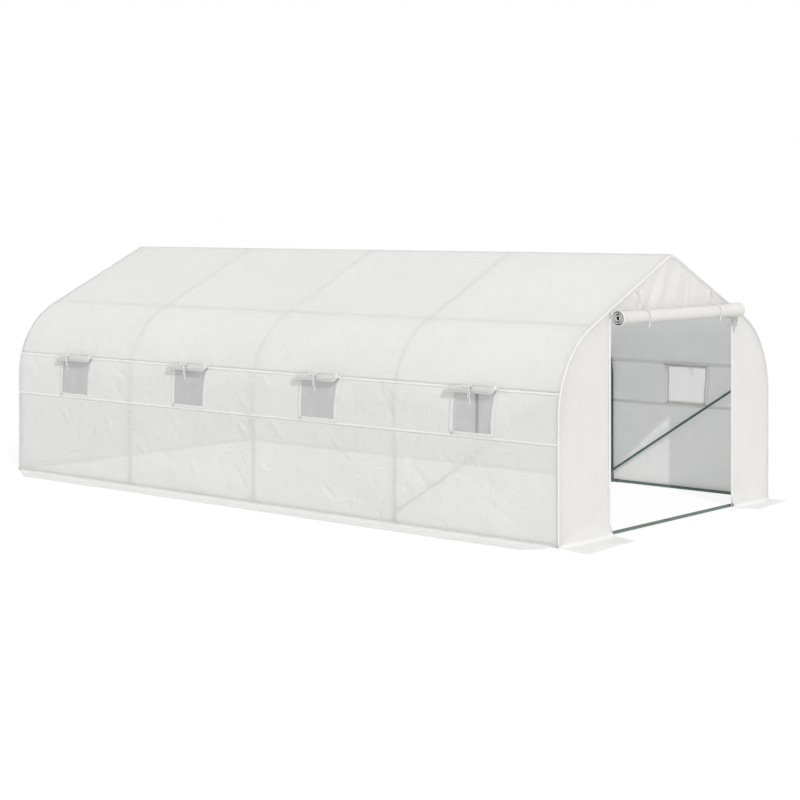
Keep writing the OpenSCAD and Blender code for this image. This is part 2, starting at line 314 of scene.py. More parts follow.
@dataclass(frozen=True)
class RolledSheetFinish(Finish):
    """The same sheet wound on itself, where many plies hide what is behind, with painted shade on the plies deep in
    the roll.

    Attributes:
        binding: Colour of the tape that binds the sheet's side edges.
        depth: Share of the colour kept where the sheet lies deep in the roll, as painted shade for the dark gaps
            between the plies.
        glow: Share of light that spreads through one face.
    """

    name: str = "rolled_sheet"
    # Painted shade: darker than the cover sheet's own colour, to hold down the sunlit rolled door.
    colour: Colour = (0.785, 0.775, 0.748)
    binding: Colour = (0.93, 0.93, 0.92)
    depth: float = 0.12
    glow: float = 0.12

    def shader(self, g: Graph) -> Socket:
        """Builds the rolled sheet's nodes."""
        flat, length, width = g.flat_cloth()
        grid = g.math("MAXIMUM", g.lines(length, 0.024, 0.0030), g.lines(width, 0.012, 0.0030))
        fine, soft = g.speckle(flat, 30.0, 4.0, 0.5), g.speckle(flat, 6.0, 3.0, 1.2)
        normal = g.bump(g.layers((soft, 0.004), (fine, 0.0006), (grid, 0.00025)))
        colour = g.blend(g.ramp(soft, 0.35, 0.7), self.colour, self.shade(0.97))
        # Painted shade: deep in the roll the colour drops to a share of itself, standing in for the shade between
        # the plies.
        for name, other in (("painted_ply_shade", self.shade(self.depth)), ("binding", self.binding)):
            colour = g.blend(g.node("Attribute", attribute_name=name).outputs["Fac"], colour, other)
        face = g.face(colour, g.ramp(fine, 0.3, 0.8, 0.42, 0.56), normal, {"Specular IOR Level": 0.35})
        return g.mixed(self.glow, face, g.plain("BsdfTranslucent", (0.9, 0.9, 0.87), {"Normal": normal}))


@dataclass(frozen=True)
class TapeFinish(Finish):
    """White webbing, sewn down along both edges.

    Attributes:
        width: Width of the tape, which sets where its stitches lie.
        glow: Share of light that spreads through the tape.
    """

    name: str = "seam_tape"
    colour: Colour = (0.965, 0.96, 0.95)
    width: float = 0.020
    glow: float = 0.25

    def shader(self, g: Graph) -> Socket:
        """Builds the tape's nodes, with stitches a little in from each edge."""
        flat, length, width = g.flat_cloth()
        seam = g.math("ABSOLUTE", g.math("SUBTRACT", g.math("ABSOLUTE", width), 0.36 * self.width))
        row = g.ramp(seam, 0.0005, 0.0013, 1.0, 0.0)
        stitch = g.math("MULTIPLY", row, g.lines(length, 0.006, 0.0046))
        fine = g.speckle(flat, 60.0)
        ribs = g.lines(length, 0.0022, 0.0014)
        normal = g.bump(g.layers((ribs, 0.00022), (stitch, 0.0006), (row, -0.0004), (fine, 0.0006)))
        colour = g.blend(g.ramp(fine, 0.45, 0.75), self.colour, self.shade(0.97))
        face = g.face(colour, g.ramp(fine, 0.2, 0.8, 0.6, 0.78), normal, {"Sheen Weight": 0.15})
        return g.mixed(self.glow, face, g.plain("BsdfTranslucent", (0.96, 0.96, 0.95)))


@dataclass(frozen=True)
class InsectMeshFinish(Finish):
    """Fine grey insect mesh that shows what is behind it.

    Attributes:
        clear: Share of what is behind that shows through one face of the mesh.
        pitch: Distance between threads.
    """

    name: str = "insect_mesh"
    colour: Colour = (0.74, 0.74, 0.73)
    clear: float = 0.72
    pitch: float = 0.0036

    def shader(self, g: Graph) -> Socket:
        """Builds the mesh's nodes."""
        flat, *ways = g.flat_cloth()
        threads = g.math("MAXIMUM", *(g.lines(way, self.pitch, 0.42 * self.pitch) for way in ways))
        fine = g.speckle(flat, 9.0)
        colour = g.blend(g.ramp(fine, 0.35, 0.7), self.colour, self.shade(0.9))
        face = g.face(colour, g.ramp(fine, 0.3, 0.7, 0.5, 0.65), g.bump(g.layers((threads, 0.0003))))
        holes = g.ramp(threads, 0.0, 1.0, self.clear + 0.05, self.clear - 0.08)
        return g.mixed(holes, face, g.node("BsdfTransparent").outputs[0])


@dataclass(frozen=True)
class CoatedSteelFinish(Finish):
    """Dark green powder coat on steel tube, a little scuffed and dusty near the ground.

    Attributes:
        worn: Colour where the coat is rubbed.
        dust: Colour of the dust near the ground.
        gloss: Roughness of the clean coat.
    """

    name: str = "tube_coat"
    colour: Colour = (0.055, 0.125, 0.100)
    worn: Colour = (0.17, 0.24, 0.21)
    dust: Colour = (0.34, 0.33, 0.29)
    gloss: float = 0.33

    def shader(self, g: Graph) -> Socket:
        """Builds the coat's nodes."""
        space = g.object_space()
        grain, cloud = g.speckle(space, 420.0, 2.0), g.speckle(space, 9.0, 4.0)
        rubbed = g.math("MULTIPLY", g.ramp(g.speckle(space, 26.0, 6.0, 0.6), 0.58, 0.70), 0.45)
        low = g.math("MULTIPLY", g.ramp(g.height(), 0.0, 0.10, 0.35, 0.0), cloud)
        colour = g.blend(cloud, self.colour, self.shade(0.82))
        for share, other in ((rubbed, self.worn), (low, self.dust)):
            colour = g.blend(share, colour, other)
        rough = g.math("ADD", g.ramp(cloud, 0.3, 0.7, self.gloss, self.gloss + 0.12), g.math("MULTIPLY", low, 0.5))
        return g.face(colour, rough, g.bump(grain, 0.0004, 0.6), {"Coat Weight": 0.25, "Coat Roughness": 0.25})


@dataclass(frozen=True)
class ZincFinish(Finish):
    """Dull zinc plating on bolts and nuts."""

    name: str = "zinc_plate"
    colour: Colour = (0.56, 0.57, 0.57)

    def shader(self, g: Graph) -> Socket:
        """Builds the plating's nodes."""
        bloom = g.speckle(g.object_space(), 180.0, 4.0)
        colour = g.blend(g.ramp(bloom, 0.35, 0.7), self.colour, self.shade(0.72))
        return g.face(colour, g.ramp(bloom, 0.3, 0.7, 0.32, 0.55), g.bump(bloom, 0.0003, 0.5), {"Metallic": 1.0})


@dataclass(frozen=True)
class FloorFinish(Finish):
    """White studio floor, which keeps a faint shadow.

    Attributes:
        own_light: How white the floor shows without the lamps' light.
        shadow_share: How much of the lamps' light shows on it.
    """

    name: str = "studio_floor"
    colour: Colour = (0.86, 0.86, 0.86)
    own_light: float = 0.86
    shadow_share: float = 0.15

    def shader(self, g: Graph) -> Socket:
        """Builds the floor's nodes."""
        faint = g.plain("BsdfDiffuse", (self.shadow_share,) * 3)
        light = g.plain("Emission", WHITE[:3], {"Strength": self.own_light})
        shown = g.node("AddShader", {0: faint, 1: light}).outputs[0]
        looked_at = g.rays("Is Camera Ray", "Is Glossy Ray", "Is Transmission Ray")
        return g.mixed(looked_at, g.plain("BsdfDiffuse", self.colour), shown)


def built(finish: Finish) -> Any:
    """Field of the wardrobe that builds one finish."""
    return field(default_factory=finish.material)


@dataclass
class Wardrobe:
    """Every finish, built once and shared."""

    sheet: Material = built(CoverSheetFinish())
    # Painted light: the same cover sheet, painted a little paler than the walls so that the band shows as bright as
    # it does.
    band: Material = built(CoverSheetFinish("band_sheet", (0.937, 0.919, 0.893), glow=0.255, clear=0.20))
    # Painted shade: the same cover sheet, painted darker than the walls to hold the roof to its brightness.
    roof: Material = built(CoverSheetFinish("roof_sheet", (0.907, 0.890, 0.855), glow=0.39, clear=0.035))
    # Painted shade: the same cover sheet, painted darker than the walls because the ends face the sun.
    ends: Material = built(CoverSheetFinish("end_sheet", (0.888, 0.866, 0.833), glow=0.31, clear=0.10))
    edging: Material = built(TapeFinish("window_edging", (0.985, 0.98, 0.97), 0.036, 0.55))
    # Painted shade: the rolled door keeps the darker default colour, to hold down its sunlit roll.
    rolled_door: Material = built(RolledSheetFinish("rolled_door"))
    # The window rolls keep a milder painted shade on their inner plies.
    rolled_flap: Material = built(RolledSheetFinish("rolled_flap", (0.93, 0.925, 0.91), depth=0.75))
    tape: Material = built(TapeFinish())
    tie: Material = built(TapeFinish("tie_webbing", (0.94, 0.94, 0.93), 0.014))
    mesh: Material = built(InsectMeshFinish())
    tube: Material = built(CoatedSteelFinish())
    fitting: Material = built(CoatedSteelFinish("fitting_coat", (0.035, 0.085, 0.068), gloss=0.42))
    zinc: Material = built(ZincFinish())
    floor: Material = built(FloorFinish())


# ---- The tunnel's form ----


class Station(NamedTuple):
    """A point on the cover's outline, and the way out of the tunnel there."""

    x: float
    z: float
    out_x: float
    out_z: float


@dataclass(frozen=True)
class TunnelForm:
    """The cover's outline and the places of the hoops.

    A run is a distance along the outline from the foot of a side wall.

    Attributes:
        half_w: Half of the width over the side walls.
        half_l: Half of the length over the end panels.
        height: Height of the ridge.
        hoop_end: Distance of the end hoops from the middle.
        bays: Number of bays between hoops.
        roof_pitch: Slope of the roof in radians.
        shoulder_r: Radius of the shoulder.
        ridge_r: Radius of the ridge.
    """

    half_w: float
    half_l: float
    height: float
    hoop_end: float
    bays: int = 4
    roof_pitch: float = radians(25.5)
    shoulder_r: float = 0.68
    ridge_r: float = 0.018

    @classmethod
    def from_frame(cls) -> "TunnelForm":
        """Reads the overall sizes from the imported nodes."""
        rail_low, rail_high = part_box("front_base_rail")
        tube_radius = (rail_high.z - rail_low.z) / 2
        return cls(
            half_w=-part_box("left_lower_wall")[0].x,
            half_l=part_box("back_panel")[1].y,
            height=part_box("roof_cover")[1].z,
            hoop_end=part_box("left_posts")[1].y - tube_radius,
        )

    @property
    def turn(self) -> float:
        """Angle of the shoulder in radians."""
        return QUARTER_TURN - self.roof_pitch

    @property
    def shoulder_x(self) -> float:
        """X of the shoulder's centre."""
        return self.half_w - self.shoulder_r

    @property
    def shoulder_z(self) -> float:
        """Z of the shoulder's centre, where the wall starts to bend."""
        apex = self.height + self.ridge_r * (1 / cos(self.roof_pitch) - 1)
        corner = apex - self.half_w * tan(self.roof_pitch)
        return corner - self.shoulder_r * tan(self.turn / 2)

    @property
    def eave_x(self) -> float:
        """X at the top of the shoulder."""
        return self.shoulder_x + self.shoulder_r * cos(self.turn)

    @property
    def slope_run(self) -> float:
        """Length of the straight slope between shoulder and ridge."""
        return (self.eave_x - self.ridge_r * sin(self.roof_pitch)) / cos(self.roof_pitch)

    @property
    def eave_run(self) -> float:
        """Run at the top of the shoulder."""
        return self.shoulder_z + self.shoulder_r * self.turn

    @property
    def half_run(self) -> float:
        """Run at the ridge."""
        return self.eave_run + self.slope_run + self.ridge_r * self.roof_pitch

    @property
    def hoops(self) -> list[float]:
        """Y of each hoop, front to back."""
        return [mix(-self.hoop_end, self.hoop_end, i / self.bays) for i in range(self.bays + 1)]

    @property
    def bay_middles(self) -> list[float]:
        """Y of each bay's middle, front to back."""
        return [(a + b) / 2 for a, b in zip(self.hoops, self.hoops[1:])]

    def station(self, run: float) -> Station:
        """Outline at a run from the right foot; past the ridge it goes down the left side.

        Args:
            run: Distance along the outline.

        Returns:
            The point and the way out there.
        """
        if run > self.half_run:
            other = self.station(2 * self.half_run - run)
            return Station(-other.x, other.z, -other.out_x, other.out_z)
        if run <= self.shoulder_z:
            return Station(self.half_w, run, 1.0, 0.0)
        if run <= self.eave_run:
            return self._shoulder((run - self.shoulder_z) / self.shoulder_r)
        up = run - self.eave_run
        if up <= self.slope_run:
            foot = self._shoulder(self.turn)
            return Station(foot.x - up * cos(self.roof_pitch), foot.z + up * sin(self.roof_pitch),
                           foot.out_x, foot.out_z)
        angle = min(QUARTER_TURN, self.turn + (up - self.slope_run) / self.ridge_r)
        return self._round(0.0, self.height - self.ridge_r, self.ridge_r, angle)

    def _shoulder(self, angle: float) -> Station:
        """Point on the shoulder at an angle up from level."""
        return self._round(self.shoulder_x, self.shoulder_z, self.shoulder_r, angle)

    @staticmethod
    def _round(x: float, z: float, radius: float, angle: float) -> Station:
        """Point on a circle of the outline at an angle up from level."""
        return Station(x + radius * cos(angle), z + radius * sin(angle), cos(angle), sin(angle))

    def run_at_height(self, z: float) -> float:
        """Run at a height on the wall or the shoulder."""
        if z <= self.shoulder_z:
            return z
        return self.shoulder_z + self.shoulder_r * asin((z - self.shoulder_z) / self.shoulder_r)

    def run_at_width(self, x: float) -> float:
        """Run at a distance x from the middle, on the shoulder or the roof."""
        if x >= self.eave_x:
            return self.shoulder_z + self.shoulder_r * acos((x - self.shoulder_x) / self.shoulder_r)
        return self.eave_run + (self.eave_x - x) / cos(self.roof_pitch)

    def top_at(self, x: float) -> float:
        """Height of the outline at a place across the tunnel."""
        return self.station(self.run_at_width(min(abs(x), self.half_w - NEARLY))).z


@dataclass(frozen=True)
class Crease:
    """One soft fold in a hanging sheet.

    Attributes:
        y: Middle of the fold along the sheet.
        run: Middle of the fold up the sheet.
        angle: Direction of the fold in radians.
        length: Half of its length.
        width: Width of the fold.
        depth: Height of the fold, negative for a hollow.
    """

    y: float
    run: float
    angle: float
    length: float
    width: float
    depth: float

    def lift(self, y: float, run: float) -> float:
        """Height of the fold at a point of the sheet."""
        dy, dr = y - self.y, run - self.run
        along = dy * cos(self.angle) + dr * sin(self.angle)
        across = dr * cos(self.angle) - dy * sin(self.angle)
        if abs(along) > self.length or abs(across) > 3 * self.width:
            return 0.0
        return self.depth * cos(QUARTER_TURN * along / self.length) ** 2 * bell(across, self.width)


@dataclass
class Drape:
    """How the taut cover hangs between the hoops and creases.

    Attributes:
        form: The tunnel's form.
        seed: Seed of the creases.
        wall_hang: How far the walls and shoulders draw in between hoops.
        roof_hang: How far the roof slopes sag between hoops.
        crest: How softly the sheet turns over a hoop, from 0.
        creases: The sheet's own folds.
    """

    form: TunnelForm
    seed: int
    wall_hang: float = 0.006
    roof_hang: float = 0.010
    crest: float = 0.12
    creases: list[Crease] = field(default_factory=list)

    def scatter(self, count: int, low_run: float, high_run: float, depth: float) -> None:
        """Adds slanting folds at random between two runs.

        Args:
            count: Number of folds.
            low_run: Lowest run.
            high_run: Highest run.
            depth: Greatest height of a fold.
        """
        rng = random.Random(self.seed)
        self.creases += [
            Crease(
                y=rng.uniform(-0.92, 0.92) * self.form.half_l,
                run=rng.uniform(low_run, high_run),
                angle=radians(rng.choice((-1, 1)) * rng.uniform(20, 65)),
                length=rng.uniform(0.08, 0.26),
                width=rng.uniform(0.014, 0.030),
                depth=depth * rng.uniform(0.4, 1.0) * rng.choice((-1, 1)),
            )
            for _ in range(count)
        ]

    def hang(self, y: float) -> float:
        """0 on a hoop and 1 halfway between two hoops."""
        phase = (y + self.form.hoop_end) / (2 * self.form.hoop_end / self.form.bays)
        if not 0 < phase < self.form.bays:
            return 0.0
        wave = sin(HALF_TURN * phase)
        return sqrt(wave * wave + self.crest * self.crest) - self.crest

    def lift(self, y: float, run: float) -> float:
        """How far the sheet stands out from the form.

        Args:
            y: Place along the tunnel.
            run: Distance along the outline from either foot.

        Returns:
            Metres outwards, negative inwards.
        """
        form = self.form
        own_run = run if run <= form.half_run else 2 * form.half_run - run
        if own_run < form.eave_run:
            depth = self.wall_hang * sin(HALF_TURN * clamp(own_run / form.eave_run))
        else:
            depth = self.roof_hang * sin(HALF_TURN * (own_run - form.eave_run) / (form.half_run - form.eave_run))
        free = ease((form.half_l - abs(y)) / 0.12) * ease(own_run / 0.10)
        wrinkle = 0.0016 * ripple(y, run, self.seed, 0.34) + 0.0009 * ripple(y, run, self.seed + 7, 0.12)
        folds = sum(crease.lift(y, run) for crease in self.creases)
        return -depth * self.hang(y) + free * (wrinkle + folds)


# ---- Making pieces ----


def add_object(name: str, mesh: Mesh, material: Material) -> Piece:
    """Turns a finished bmesh, freed here, into an object with a finish."""
    data = bpy.data.meshes.new(name)
    mesh.to_mesh(data)
    mesh.free()
    data.materials.append(material)
    made = bpy.data.objects.new(name, data)
    bpy.context.scene.collection.objects.link(made)
    return made


def add_piece(name: str, mesh: Mesh, material: Material, replaces: Sequence[str] = (),
              thickness: float = 0.0) -> Piece:
    """Turns a finished bmesh into a piece of the model that rides on the frame.

    Args:
        name: The piece's name.
        mesh: Its shape in the row frame, freed here.
        material: Its finish.
        replaces: CAD nodes that it stands for.
        thickness: Thickness of a sheet, laid inwards; 0 for a solid.

    Returns:
        The piece.
    """
    piece = add_object(name, mesh, material)
    piece.data.shade_smooth()
    if thickness:
        shell = piece.modifiers.new("thickness", "SOLIDIFY")
        shell.thickness = thickness
        shell.offset = -1.0
        shell.use_even_offset = True
    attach(piece, BODY)
    if replaces:
        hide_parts(*replaces)
    LOG.info("piece %s: %d faces", name, len(piece.data.polygons))
    return piece


def join(target: Mesh, part: Mesh) -> None:
    """Adds a part to a mesh, and frees the part."""
    held = bpy.data.meshes.new("part")
    part.to_mesh(held)
    part.free()
    target.from_mesh(held)
    bpy.data.meshes.remove(held)


@dataclass
class Cloth:
    """A piece of cloth, cut flat and then laid in place.

    Attributes:
        low: Lowest flat corner.
        high: Highest flat corner.
        cells: Number of cells each way.
    """

    low: Pair
    high: Pair
    cells: tuple[int, int]
    mesh: Mesh = field(init=False)

    def __post_init__(self) -> None:
        """Cuts the rectangle."""
        self.mesh = bmesh.new()
        self.mesh.loops.layers.uv.new(FLAT_MAP)
        centre = Vector(((self.low[0] + self.high[0]) / 2, (self.low[1] + self.high[1]) / 2, 0.0))
        half = ((self.high[0] - self.low[0]) / 2, (self.high[1] - self.low[1]) / 2)
        placed = Matrix.Translation(centre) @ Matrix.Diagonal((*half, 1.0, 1.0))
        bmesh.ops.create_grid(self.mesh, x_segments=self.cells[0], y_segments=self.cells[1], size=1.0, matrix=placed)

    @classmethod
    def of_cell(cls, low: Pair, high: Pair, cell: float) -> "Cloth":
        """Cloth between two flat corners, with square cells of about one size."""
        return cls(low, high, tuple(max(2, round((b - a) / cell)) for a, b in zip(low, high)))

    def cut(self, point: Pair, away: Pair, drop: bool = False) -> None:
        """Cuts the flat cloth along a line.

        Args:
            point: A point on the line.
            away: Direction across the line.
            drop: Whether what lies that way is dropped.
        """
        bmesh.ops.bisect_plane(self.mesh, geom=[*self.mesh.verts, *self.mesh.edges, *self.mesh.faces], dist=NEARLY,
                               plane_co=(*point, 0.0), plane_no=(*away, 0.0), clear_outer=drop)

    def open_at(self, low: Pair, high: Pair) -> None:
        """Cuts a rectangular opening between two flat corners."""
        for corner in (low, high):
            for away in ((1.0, 0.0), (0.0, 1.0)):
                self.cut(corner, away)
        inside = [face for face in self.mesh.faces
                  if all(low[i] < face.calc_center_median()[i] < high[i] for i in (0, 1))]
        bmesh.ops.delete(self.mesh, geom=inside, context="FACES")

    def area(self) -> float:
        """Area of the flat cut in square metres."""
        return sum(face.calc_area() for face in self.mesh.faces)

    def lay(self, place: Place, outward: Callable[[Vector], Vector], flat: Place | None = None) -> None:
        """Moves the cloth from its flat cut to where it hangs.

        Args:
            place: Where a flat point goes.
            outward: Which way is outside at a point.
            flat: True flat coordinates of a point, where the grid isn't drawn true to size.
        """
        layer = self.mesh.loops.layers.uv[FLAT_MAP]
        for face in self.mesh.faces:
            for loop in face.loops:
                cut = loop.vert.co
                loop[layer].uv = flat(cut.x, cut.y).xy if flat else cut.xy
        for vert in self.mesh.verts:
            vert.co = place(vert.co.x, vert.co.y)
        self.mesh.normal_update()
        if sum(face.normal.dot(outward(face.calc_center_median())) for face in self.mesh.faces) < 0:
            bmesh.ops.reverse_faces(self.mesh, faces=self.mesh.faces[:])


def smooth_path(points: Sequence[Vector], steps: int) -> list[Vector]:
    """Rounded path that passes a few points, with so many steps between two of them."""
    ends = [2 * points[0] - points[1], *points, 2 * points[-1] - points[-2]]
    path = []
    for a, b, c, d in zip(ends, ends[1:], ends[2:], ends[3:]):
        for i in range(steps):
            t = i / steps
            path.append(0.5 * (2 * b + (c - a) * t + (2 * a - 5 * b + 4 * c - d) * t * t
                               + (3 * b - a - 3 * c + d) * t ** 3))
    return [*path, points[-1]]


def settle(mesh: Mesh) -> Mesh:
    """Sorts the faces by place, since some operators leave them in a new order on each run."""
    mesh.faces.sort(key=lambda face: face.calc_center_bounds().dot(SLANT))
    return mesh


def sweep(mesh: Mesh, path: Sequence[Vector], wide: Vector, half_width: float, half_height: float,
          sides: int = 8) -> Mesh:
    """Adds a cord or a flat ribbon with closed ends along a path.

    Args:
        mesh: The mesh that it is added to.
        path: Points of its centreline.
        wide: Direction of its width at the start.
        half_width: Half of its width.
        half_height: Half of its thickness.
        sides: Number of sides.

    Returns:
        The mesh.
    """
    layer = mesh.loops.layers.uv.get(FLAT_MAP) or mesh.loops.layers.uv.new(FLAT_MAP)
    tangent = (path[1] - path[0]).normalized()
    across = (wide - wide.dot(tangent) * tangent).normalized()
    turned = Matrix((across, tangent.cross(across), tangent)).transposed().to_4x4()
    start = Matrix.Translation(path[0]) @ turned @ Matrix.Diagonal((half_width, half_height, 1.0, 1.0))
    ring = bmesh.ops.create_circle(mesh, cap_ends=True, segments=sides, radius=1.0, matrix=start)["verts"]
    made_faces = [face for face in ring[0].link_faces if all(v in ring for v in face.verts)]
    edges = list(dict.fromkeys(edge for vert in ring for edge in vert.link_edges))
    travelled = 0.0
    for here, there, beyond in zip(path, path[1:], [*path[2:], 2 * path[-1] - path[-2]]):
        grown = bmesh.ops.extrude_edge_only(mesh, edges=edges)["geom"]
        verts = [item for item in grown if isinstance(item, bmesh.types.BMVert)]
        faces = [item for item in grown if isinstance(item, bmesh.types.BMFace)]
        edges = [item for item in grown if isinstance(item, bmesh.types.BMEdge)
                 and all(vert in verts for vert in item.verts)]
        following = (beyond - here).normalized() if (beyond - here).length > 1e-9 else tangent
        spin = tangent.rotation_difference(following).to_matrix().to_4x4()
        step = Matrix.Translation(there) @ spin @ Matrix.Translation(-here)
        bmesh.ops.transform(mesh, matrix=step, verts=verts)
        length = (there - here).length
        for loop in (loop for face in faces for loop in face.loops):
            far = loop.vert in verts
            away = (loop.vert.co - (there if far else here)).dot(across)
            loop[layer].uv = (travelled + (length if far else 0.0), away)
        travelled += length
        across = (spin @ across).normalized()
        tangent = following
        made_faces += faces
    made_faces += bmesh.ops.contextual_create(mesh, geom=edges)["faces"]
    bmesh.ops.recalc_face_normals(mesh, faces=made_faces)
    return settle(mesh)


# ---- Cover ----


@dataclass
class SideCover:
    """Window band, lower wall and ground flap of one long side, with their tapes.

    Attributes:
        side: Which side.
        form: The tunnel's form.
        drape: How the side hangs.
        finishes: The shared finishes.
        tuck_h: Height over which the wall draws in to the seam at its foot.
        tuck_w: How far it draws in there.
        front_cut: How far back the flap's slanting front edge runs.
        back_cut: How far forward the flap's slanting back edge runs.
        tape_w: Width of the seam tapes.
        edge_w: Width of the tapes beside the windows.
        cell: Size of the sheet's cells.
        strays: How far each window is sewn in off its bay's middle, front to back.
        pull: How far the taut sheet draws a window's lower front corner back.
        pull_back: Share of that pull at its lower back corner.
        pull_w: How far along the wall the pull spreads.
        fold_w: Width of the soft fold where the flap leaves the wall.
        fold_h: Height of that fold.
        sill_rise: How far a window's sill stands over the mesh's lower edge.
    """

    side: Side
    form: TunnelForm
    drape: Drape
    finishes: Wardrobe
    tuck_h: float = 0.045
    tuck_w: float = 0.003
    front_cut: float = 0.15
    back_cut: float = 0.38
    tape_w: float = 0.020
    edge_w: float = 0.036
    cell: float = 0.019
    strays: tuple[float, ...] = (-0.011, 0.022, -0.007, -0.034)
    pull: float = 0.026
    pull_back: float = 0.38
    pull_w: float = 0.13
    fold_w: float = 0.075
    fold_h: float = 0.013
    sill_rise: float = 0.014

    def __post_init__(self) -> None:
        """Reads the side's seams, windows and flap from the frame."""
        self.low_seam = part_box(self.side.of("lower_wall"))[1].z
        self.high_seam = self.form.run_at_height(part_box(self.side.of("window_band"))[1].z)
        mesh_low, mesh_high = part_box(self.side.of("window_meshes"))
        self.window_z = (mesh_low.z, mesh_high.z)
        self.window_half = mesh_high.y - self.form.bay_middles[-1]
        self.flap_reach = max(abs(corner.x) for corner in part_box(self.side.of("ground_flap"))) - self.form.half_w
        self.end = self.form.half_l - END_GAP
        self.windows = [y + stray for y, stray in zip(self.form.bay_middles, self.strays)]

    def drawn(self, y: float, run: float) -> float:
        """Place along the tunnel of a point whose cut place is y, where the sheet is drawn out of true."""
        low, high = self.window_z
        down = ease((high + 0.05 - run) / (high - low)) * ease((run - low + 0.30) / 0.28)
        shift = 0.0
        for middle in self.windows:
            for edge, share in ((-1, 1.0), (1, self.pull_back)):
                shift += share * self.pull * down * bell(y - middle - edge * self.window_half, self.pull_w)
        return y + shift * ease((self.end - abs(y)) / 0.2)

    def surface(self, y: float, run: float, lift: float = 0.0) -> Vector:
        """Point on this side of the draped cover, in the row frame.

        Args:
            y: Place along the tunnel.
            run: Distance up the outline from the foot.
            lift: Extra distance outwards.

        Returns:
            The point.
        """
        spot = self.form.station(run)
        out = self.drape.lift(y, run) + lift
        return Vector((self.side.sign * (spot.x + spot.out_x * out), self.drawn(y, run), spot.z + spot.out_z * out))

    def outward(self, _: Vector) -> Vector:
        """Way out of the tunnel on this side."""
        return Vector((self.side.sign, 0.0, 0.6))

    def band(self) -> None:
        """Builds the strip between the seams, with its window openings."""
        side, low, high = self.side, self.low_seam, self.high_seam
        cloth = Cloth.of_cell((-self.end, low + SEAM_GAP), (self.end, high - SEAM_GAP), self.cell)
        top = self.form.run_at_height(self.window_z[1])
        sill = self.window_z[0] + self.sill_rise - 0.45 * self.edge_w
        half = self.window_half + 0.6 * self.edge_w
        for y in self.windows:
            cloth.open_at((y - half, sill), (y + half, top))
        area = cloth.area()
        cloth.lay(self.surface, self.outward)
        piece = add_piece(side.of("band_sheet"), cloth.mesh, self.finishes.band,
                          [side.of("window_band")], SHEET_T)
        side.of("posts")
        side.of("bends")
        self.seam_tape("upper", high)
        self.edge_tapes()

    def lower_wall(self) -> None:
        """Builds the wall below the windows, which runs on into the flap on the ground."""
        side, edge = self.side, -self.tuck_w - self.flap_reach
        cloth = Cloth.of_cell((-self.end, edge), (self.end, self.low_seam - SEAM_GAP), self.cell)
        cloth.cut((self.end - self.back_cut, edge), (self.flap_reach, -self.back_cut), drop=True)
        cloth.cut((-self.end, 0.0), (-self.flap_reach, -self.front_cut), drop=True)
        area = cloth.area()
        cloth.lay(self.foot, self.outward)
        piece = add_piece(side.of("wall_sheet"), cloth.mesh, self.finishes.sheet,
                          [side.of("lower_wall"), side.of("ground_flap")], SHEET_T)
        side.of("posts")
        side.of("base_rail")
        self.seam_tape("lower", self.low_seam)

    def foot(self, y: float, run: float) -> Vector:
        """Point of the lower wall, its fold or its flap, in the row frame.

        Args:
            y: Place along the tunnel.
            run: Distance up the wall, negative on the flap.

        Returns:
            The point.
        """
        if run >= self.tuck_h:
            return self.surface(y, run)
        sign, half_w = self.side.sign, self.form.half_w
        if run >= 0:
            inset = self.tuck_w * sin(QUARTER_TURN * (1 - run / self.tuck_h)) ** 2
            return Vector((sign * (half_w - inset + self.drape.lift(y, run)), y, run + SHEET_T))
        out = -run
        swell = self.fold_h + 0.006 * ripple(y, 0.0, 15.0 + sign, 0.22)
        rise = swell * sin(HALF_TURN * clamp(out / self.fold_w)) ** 0.8
        rise += 0.006 * ease((out - 0.04) / 0.1) * max(0.0, ripple(y, 1.5 * out, 5.0 + sign, 0.26))
        rise += 0.0022 * ease(out / 0.05) * (1 + ripple(y, out, 9.0 + sign, 0.06))
        wander = 0.007 * ripple(y, 0.0, 3.0 + sign, 0.5) * ease(out / self.flap_reach)
        return Vector((sign * (half_w - self.tuck_w + out + wander), y, SHEET_T + rise))

    def seam_tape(self, place: str, run: float) -> Piece:
        """White tape along one seam.

        Args:
            place: Which seam, for the piece's name.
            run: Run of the seam.

        Returns:
            The tape.
        """
        half = self.tape_w / 2
        cloth = Cloth((-self.end, -half), (self.end, half), (round(2 * self.end / self.cell), 4))
        cloth.lay(lambda y, w: self.surface(y, run + w, 0.0026 - 0.0014 * (w / half) ** 2), self.outward)
        return add_piece(self.side.of(f"{place}_seam_tape"), cloth.mesh, self.finishes.tape, thickness=0.0014)

    def edge_tapes(self) -> Piece:
        """Tapes on both upright edges and the sill of every window, as one piece.

        Returns:
            The tapes.
        """
        joined = bmesh.new()
        half = self.edge_w / 2
        sill = self.window_z[0] + 0.2 * self.sill_rise
        reach = self.window_half + 0.25 * self.edge_w
        for middle in self.windows:
            for edge in (-1, 1):
                centre = middle + edge * (self.window_half + 0.3 * self.edge_w)
                cloth = Cloth((self.low_seam, -half), (self.high_seam, half), (14, 4))
                cloth.lay(lambda r, w: self.surface(centre + w, r, 0.0022 - 0.0012 * (w / half) ** 2), self.outward)
                join(joined, cloth.mesh)
            cloth = Cloth((middle - reach, -half), (middle + reach, half), (14, 4))
            cloth.lay(lambda y, w: self.surface(y, sill + 0.8 * w, 0.0030 - 0.0012 * (w / half) ** 2), self.outward)
            join(joined, cloth.mesh)
        return add_piece(self.side.of("window_edge_tapes"), joined, self.finishes.edging, thickness=0.0012)

    def build(self) -> None:
        """Builds the side's sheets and tapes."""
        self.band()
        self.lower_wall()


